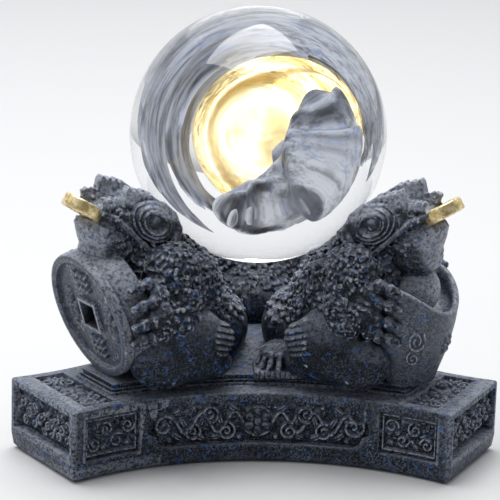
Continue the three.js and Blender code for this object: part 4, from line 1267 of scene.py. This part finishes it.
def head_clay(step):
    clay = Clay((32, -17, 54), (72, 17, 90), step)
    clay.add(egg((47, 0, 74), (13, 12, 7.5), 40), 1)
    clay.add(egg((53.5, 0, 77.6), (6.5, 8.6, 5.0), 32), 2.5)
    clay.add(egg((57.5, 0, 79.6), (4.2, 6.8, 3.2), 30), 1.5)
    clay.add(egg((39.5, 0, 67.5), (9, 11, 8), 40), 2.5)
    for form in [egg((54.5, 0, 69.3), (11.5, 9.8, 5.2), 38), egg((54, 0, 65.5), (9.0, 9.3, 7.5))]:
        clay.add(form, 1.4)
    for hand in (-1, 1):
        clay.add(egg((43.6, hand * 9.2, 75.2), (8.9, 5.0, 6.2), 42), 0.8)
        clay.add(egg((57.3, hand * 5.8, 81.8), (3.2, 2.3, 2.2), 18), 0.8)
        clay.add(egg((46.0, hand * 11.6, 62.0), (3.2, 2.4, 3.4)), 1.0)

    def skin(x, y, z):
        eye = np.hypot((x - 44) / 9.0, (z - 75.8) / 7.5) < 1
        throat = (z - 66) < (x - 52) * 0.75
        return np.where(throat, 0.5, np.where(eye & (np.abs(y) > 8), 0.15, 1.0))

    bumpy(clay, 31, 0.30, 0.24, skin)
    curly(clay, 33, 2.0, 0.45, skin)
    for hand in (-1, 1):
        crest = [brick((49.4, hand * 7.4, 82.6), (4.5, 2.4, 2.8), 17, hand * -6, 0.35), brick((43.9, hand * 8.0, 80.8), (2.9, 2.2, 2.1), 36, hand * -8, 0.35)]
        for form in crest:
            clay.add(form, 0.35)
        for x, z, lean in ((51.9, 86.4, 30), (49.6, 85.6, 8), (47.2, 85.0, -10), (45.0, 84.0, -25)):
            clay.add(brick((x + 0.4, hand * 7.4, z - 0.5), (0.8, 2.0, 1.2), lean, 0, 0.2), 0.15)
        for x, z in ((50.8, 86.6), (48.4, 85.9), (46.2, 85.1)):
            clay.carve(bone((x, hand * 4.0, z + 0.2), (x - 0.3, hand * 10.6, z - 0.6), 0.42), 0.15)
        for k, x in enumerate((51.6, 50.0, 48.4, 46.8, 45.2)):
            side = hand * (10.1 - 0.1 * k)
            clay.carve(bone((x, side, 84.6 - 0.45 * k), (x - 1.3, side, 80.8 - 0.45 * k), 0.3), 0.1)
        lid = [(49.8, hand * 9.4, 79.9), (46.0, hand * 10.6, 81.1), (41.6, hand * 10.9, 80.2), (38.2, hand * 11.0, 76.8), (36.6, hand * 11.2, 72.6), (38.0, hand * 12.0, 69.2)]
        for form in chain(lid, 1.15, 2.0):
            clay.add(form, 0.4)
        clay.carve(egg((44.8, hand * 16.2, 75.9), (4.9, 4.4, 3.7), 42), 0.3)
        clay.add(egg((45.0, hand * 11.6, 76.1), (2.3, 2.1, 2.2), 42), 0.15)
        lip = [(60.0, hand * 5.8, 79.6), (56.4, hand * 8.4, 77.6), (52.6, hand * 10.2, 73.9), (48.6, hand * 11.5, 69.8), (42.6, hand * 12.4, 63.6)]
        for form in chain(lip, 1.0, 0.75):
            clay.add(form, 0.4)
        upper = [(55.4, hand * 7.2, 80.0), (51.6, hand * 9.4, 76.4), (47.2, hand * 11.6, 71.4), (43.6, hand * 12.2, 67.0)]
        for form in chain(upper, 0.6, 0.45):
            clay.add(form, 0.3)
        mouth = [(60.8, hand * 5.4, 77.2), (57.4, hand * 8.2, 75.4), (53.4, hand * 10.2, 71.6), (49.4, hand * 11.5, 66.6)]
        for form in chain(mouth, 1.3, 1.0):
            clay.carve(form, 0.4)
        clay.carve(egg((57.6, hand * 7.2, 78.0), (0.95, 0.8, 0.7), 20), 0.2)
    clay.add(egg((57.6, 0, 71.8), (6.2, 6.8, 6.6)), 1.2)

    def eye_rings(x, y, z):
        c, s = math.cos(math.radians(42)), math.sin(math.radians(42))
        a = ((x - 45.2) * c + (z - 76.0) * s) / 1.3
        b = (z - 76.0) * c - (x - 45.2) * s
        radius = np.hypot(a, b)
        wave = np.cos(2 * math.pi * (radius - 3.2) / 1.15)
        inside = step_between(radius, 2.5, 2.8) * (1 - step_between(radius, 6.0, 6.6))
        toward_snout = step_between(x + 0.5 * (76.0 - z), 42.5, 46.0)
        return 0.42 * wave * inside * (0.25 + 0.75 * toward_snout) * (np.abs(y) > 8.5)

    clay.push((34, -17, 66), (56, 17, 87), eye_rings)
    clay.carve(bone((30, 0, 88.4), (60, 0, 84.2), 6.6, 5.2), 1.0)
    clay.carve(bone((50, 0, 84.4), (68, 0, 81.4), 5.8), 1.0)

    def on_crown(point, normal):
        eye = math.hypot((point[0] - 44) / 9.5, (point[2] - 75.8) / 8.5) < 1 and abs(point[1]) > 8
        crest = point[2] > 79.5 and point[0] < 54.5
        above_lip = point[2] - 74 > (point[0] - 52.6) * 0.9 - 1.5
        return above_lip and not eye and not crest

    clay.warts(32, 420, (34, -13, 60), (62, 13, 88), (0.35, 0.7), on_crown, 0.5, 0.25)
    return clay


def head_wash(x, y, z):
    """How pale a point of the head is painted: the brow, the snout's top and the throat."""
    brow = step_between(z - 0.42 * (x - 48.0), 79.2, 80.6) * step_between(np.abs(y), 3.5, 5.0) * (1 - step_between(x, 54.0, 56.0))
    snout = 0.8 * step_between(z, 80.4, 81.6) * step_between(x, 53.0, 55.0)
    throat = 0.85 * step_between(x - 0.35 * np.abs(z - 71.0), 57.0, 59.5) * (1 - step_between(z, 75.0, 76.5))
    return np.maximum(np.maximum(brow, snout), throat)


def foreleg_clay(step, hand, grip):
    low, high = sorted((hand * 4.0, hand * 31.0))
    clay = Clay((28, low, 36), (62, high, 72), step)

    def held(x, z, extra=2.1):
        return (x, hand * (grip(z) + extra), z)

    clay.add(egg((40, hand * 14.5, 58.7), (9, 7.5, 11)), 1)
    for form in chain([(40, hand * 16, 58.7), (39.5, hand * 18.5, 52), (41.5, hand * 20, 47)], 5.8, 4.8):
        clay.add(form, 2)
    wrist = held(47.2, 51.0)
    for form in chain([(41.5, hand * 20, 47), wrist], 4.8, 3.4):
        clay.add(form, 1.6)
    for form in chain([held(48.4, 45.2), held(48.8, 51), held(48.4, 56.6)], 3.0, 3.0):
        clay.add(form, 1.2)
    for k, z in enumerate((42.8, 48.2, 53.6, 58.8)):
        root = held(48.0, 51.0 + (z - 51.0) * 0.8)
        first, second, tip = held(50.8, z + 0.4), held(54.3, z + 0.1), held(57.0, z - 0.8, 1.4)
        for form in chain([root, first, second, tip], 2.1, 1.1):
            clay.add(form, 0.5)
        clay.add(egg(held(51.2, z + 0.5, 2.9), (2.0, 2.0, 2.2)), 0.5)
        clay.add(egg(held(54.6, z + 0.1, 2.7), (1.7, 1.7, 1.9)), 0.4)
        clay.add(egg(held(57.2, z - 0.9, 1.6), (1.3, 1.0, 1.0), -25), 0.3)
    edge = [(43.5, hand * 20.6, 62.0), (40.0, hand * 22.4, 57.4), (37.2, hand * 23.2, 52.4), (36.6, hand * 23.0, 47.6)]
    for form in chain(edge, 0.9, 0.7):
        clay.add(form, 0.8)

    def whole(x, y, z):
        return 1 - 0.6 * step_between(x, 47, 50) + 0 * (y + z)

    bumpy(clay, 51 + hand, 0.30, 0.26, whole)
    curly(clay, 61 + hand, 2.2, 0.6, whole)

    def on_arm(point, normal):
        return point[0] < 47.5

    clay.warts(53 + hand, 420, (30, low, 44), (48, high, 70), (0.45, 0.9), on_arm, 0.5, 0.25)
    return clay


def toad_pieces(name, azimuth, torso, head):
    grip, held = GRIPS[name], TREASURE_FORMS[name]
    parts = {
        "torso": (torso, ["body", "hindleg_left", "hindleg_right"], FLESH),
        "head": (head, ["head", "lower_jaw"], HEAD_RESIN),
        "foreleg_left": (foreleg_clay(FINE, 1, grip), ["foreleg_left"], FLESH),
        "foreleg_right": (foreleg_clay(FINE, -1, grip), ["foreleg_right"], FLESH),
    }
    for part, (clay, nodes, material) in parts.items():
        kept = clay.field.copy()
        for form in [BALL_FORM, COIN_FORM, *held]:
            clay.carve(form, 0.15)
        points, quads = clay.mesh()
        clay.field = kept
        piece = add_mesh(f"{name}_toad_{part}_sculpt", points, quads, azimuth)
        if part == "head":
            painted = piece.data.attributes.new("wash", "FLOAT", "POINT")
            painted.data.foreach_set("value", head_wash(*points.T).astype(np.float32))
        stood_for = [f"{name}_toad_{node}" for node in nodes]
        finish_piece(piece, material, "stand", "resin", *stood_for)


# ---------------------------------------------------------------- the object

COARSE, FINE, FINEST = ((0.45, 0.42, 0.34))

plinth_piece()
tier_piece()
pad_piece()
ball_piece()
drum_piece()
ingot_piece()
pearl_piece()
for level in (1, 2, 3, 4):
    stack_piece(level)
for name, azimuth in SIDES.items():
    side_frieze(name, azimuth)
shared_torso, shared_head = torso_clay(COARSE), head_clay(FINEST)
for name, azimuth in ARMS.items():
    end_frieze(name, azimuth)
    top_frieze(name, azimuth)
    mouth_coin_piece(name, azimuth)
    toad_pieces(name, azimuth, shared_torso, shared_head)

# ---------------------------------------------------------------- floor, light and camera


def studio():
    """A pale floor that reaches past the horizon of the picture."""
    corners = [(-4000.0, -3000.0, 0.0), (4000.0, -3000.0, 0.0), (4000.0, 5000.0, 0.0), (-4000.0, 5000.0, 0.0)]
    floor = add_mesh("studio_floor", corners, [(0, 1, 2, 3)])
    floor.data.materials.append(plain("StudioPaper", (0.66, 0.662, 0.668), 0.8))


def softbox(name, place, aim, size, power, colour=(1.0, 1.0, 1.0)):
    light = bpy.data.lights.new(name, "AREA")
    light.shape = "RECTANGLE"
    light.size, light.size_y = size
    light.energy = power
    light.color = colour
    lamp = bpy.data.objects.new(name, light)
    lamp.location = place
    lamp.rotation_euler = (Vector(aim) - Vector(place)).to_track_quat("-Z", "Y").to_euler()
    bpy.context.scene.collection.objects.link(lamp)


def pale_room(front, behind):
    """A world that is bright behind the object and dim on the camera's side."""
    world = bpy.data.worlds.new("PaleRoom")
    world.use_nodes = True
    tree = world.node_tree
    split = tree.nodes.new("ShaderNodeSeparateXYZ")
    tree.links.new(tree.nodes.new("ShaderNodeTexCoord").outputs["Generated"], split.inputs[0])
    power = tree.nodes.new("ShaderNodeMapRange")
    power.interpolation_type = "SMOOTHSTEP"
    for key, number in (("From Min", -0.35), ("From Max", 0.35), ("To Min", front), ("To Max", behind)):
        power.inputs[key].default_value = number
    tree.links.new(split.outputs["Y"], power.inputs["Value"])
    background = tree.nodes["Background"]
    background.inputs["Color"].default_value = (0.95, 0.97, 1.0, 1.0)
    tree.links.new(power.outputs["Result"], background.inputs["Strength"])
    bpy.context.scene.world = world


studio()
softbox("overhead", (-0.12, 0.16, 1.10), (0, 0.0, 0.05), (1.0, 0.7), 13.0)
softbox("left_side", (-1.0, -0.7, 0.5), (0, 0, 0.08), (0.6, 0.6), 1.6)
pale_room(0.17, 1.0)
bpy.context.scene.view_settings.view_transform = "Standard"

CAMERA_PLACE = (-0.064077, -0.828708, 0.298656)
YAW, PITCH, ROLL = math.radians(4.321), math.radians(16.144), math.radians(1.768)
forward = Vector((math.sin(YAW) * math.cos(PITCH), math.cos(YAW) * math.cos(PITCH), -math.sin(PITCH)))
level = Vector((math.cos(YAW), -math.sin(YAW), 0.0))
rise = level.cross(forward)
right = math.cos(ROLL) * level + math.sin(ROLL) * rise
above = -math.sin(ROLL) * level + math.cos(ROLL) * rise
camera = bpy.data.objects.new("camera", bpy.data.cameras.new("camera"))
camera.data.lens = 197.87
camera.data.sensor_width = 36.0
camera.data.clip_start, camera.data.clip_end = 0.05, 30.0
camera.matrix_world = Matrix((right, above, -forward)).transposed().to_4x4()
camera.location = CAMERA_PLACE
bpy.context.scene.collection.objects.link(camera)
bpy.context.scene.camera = camera
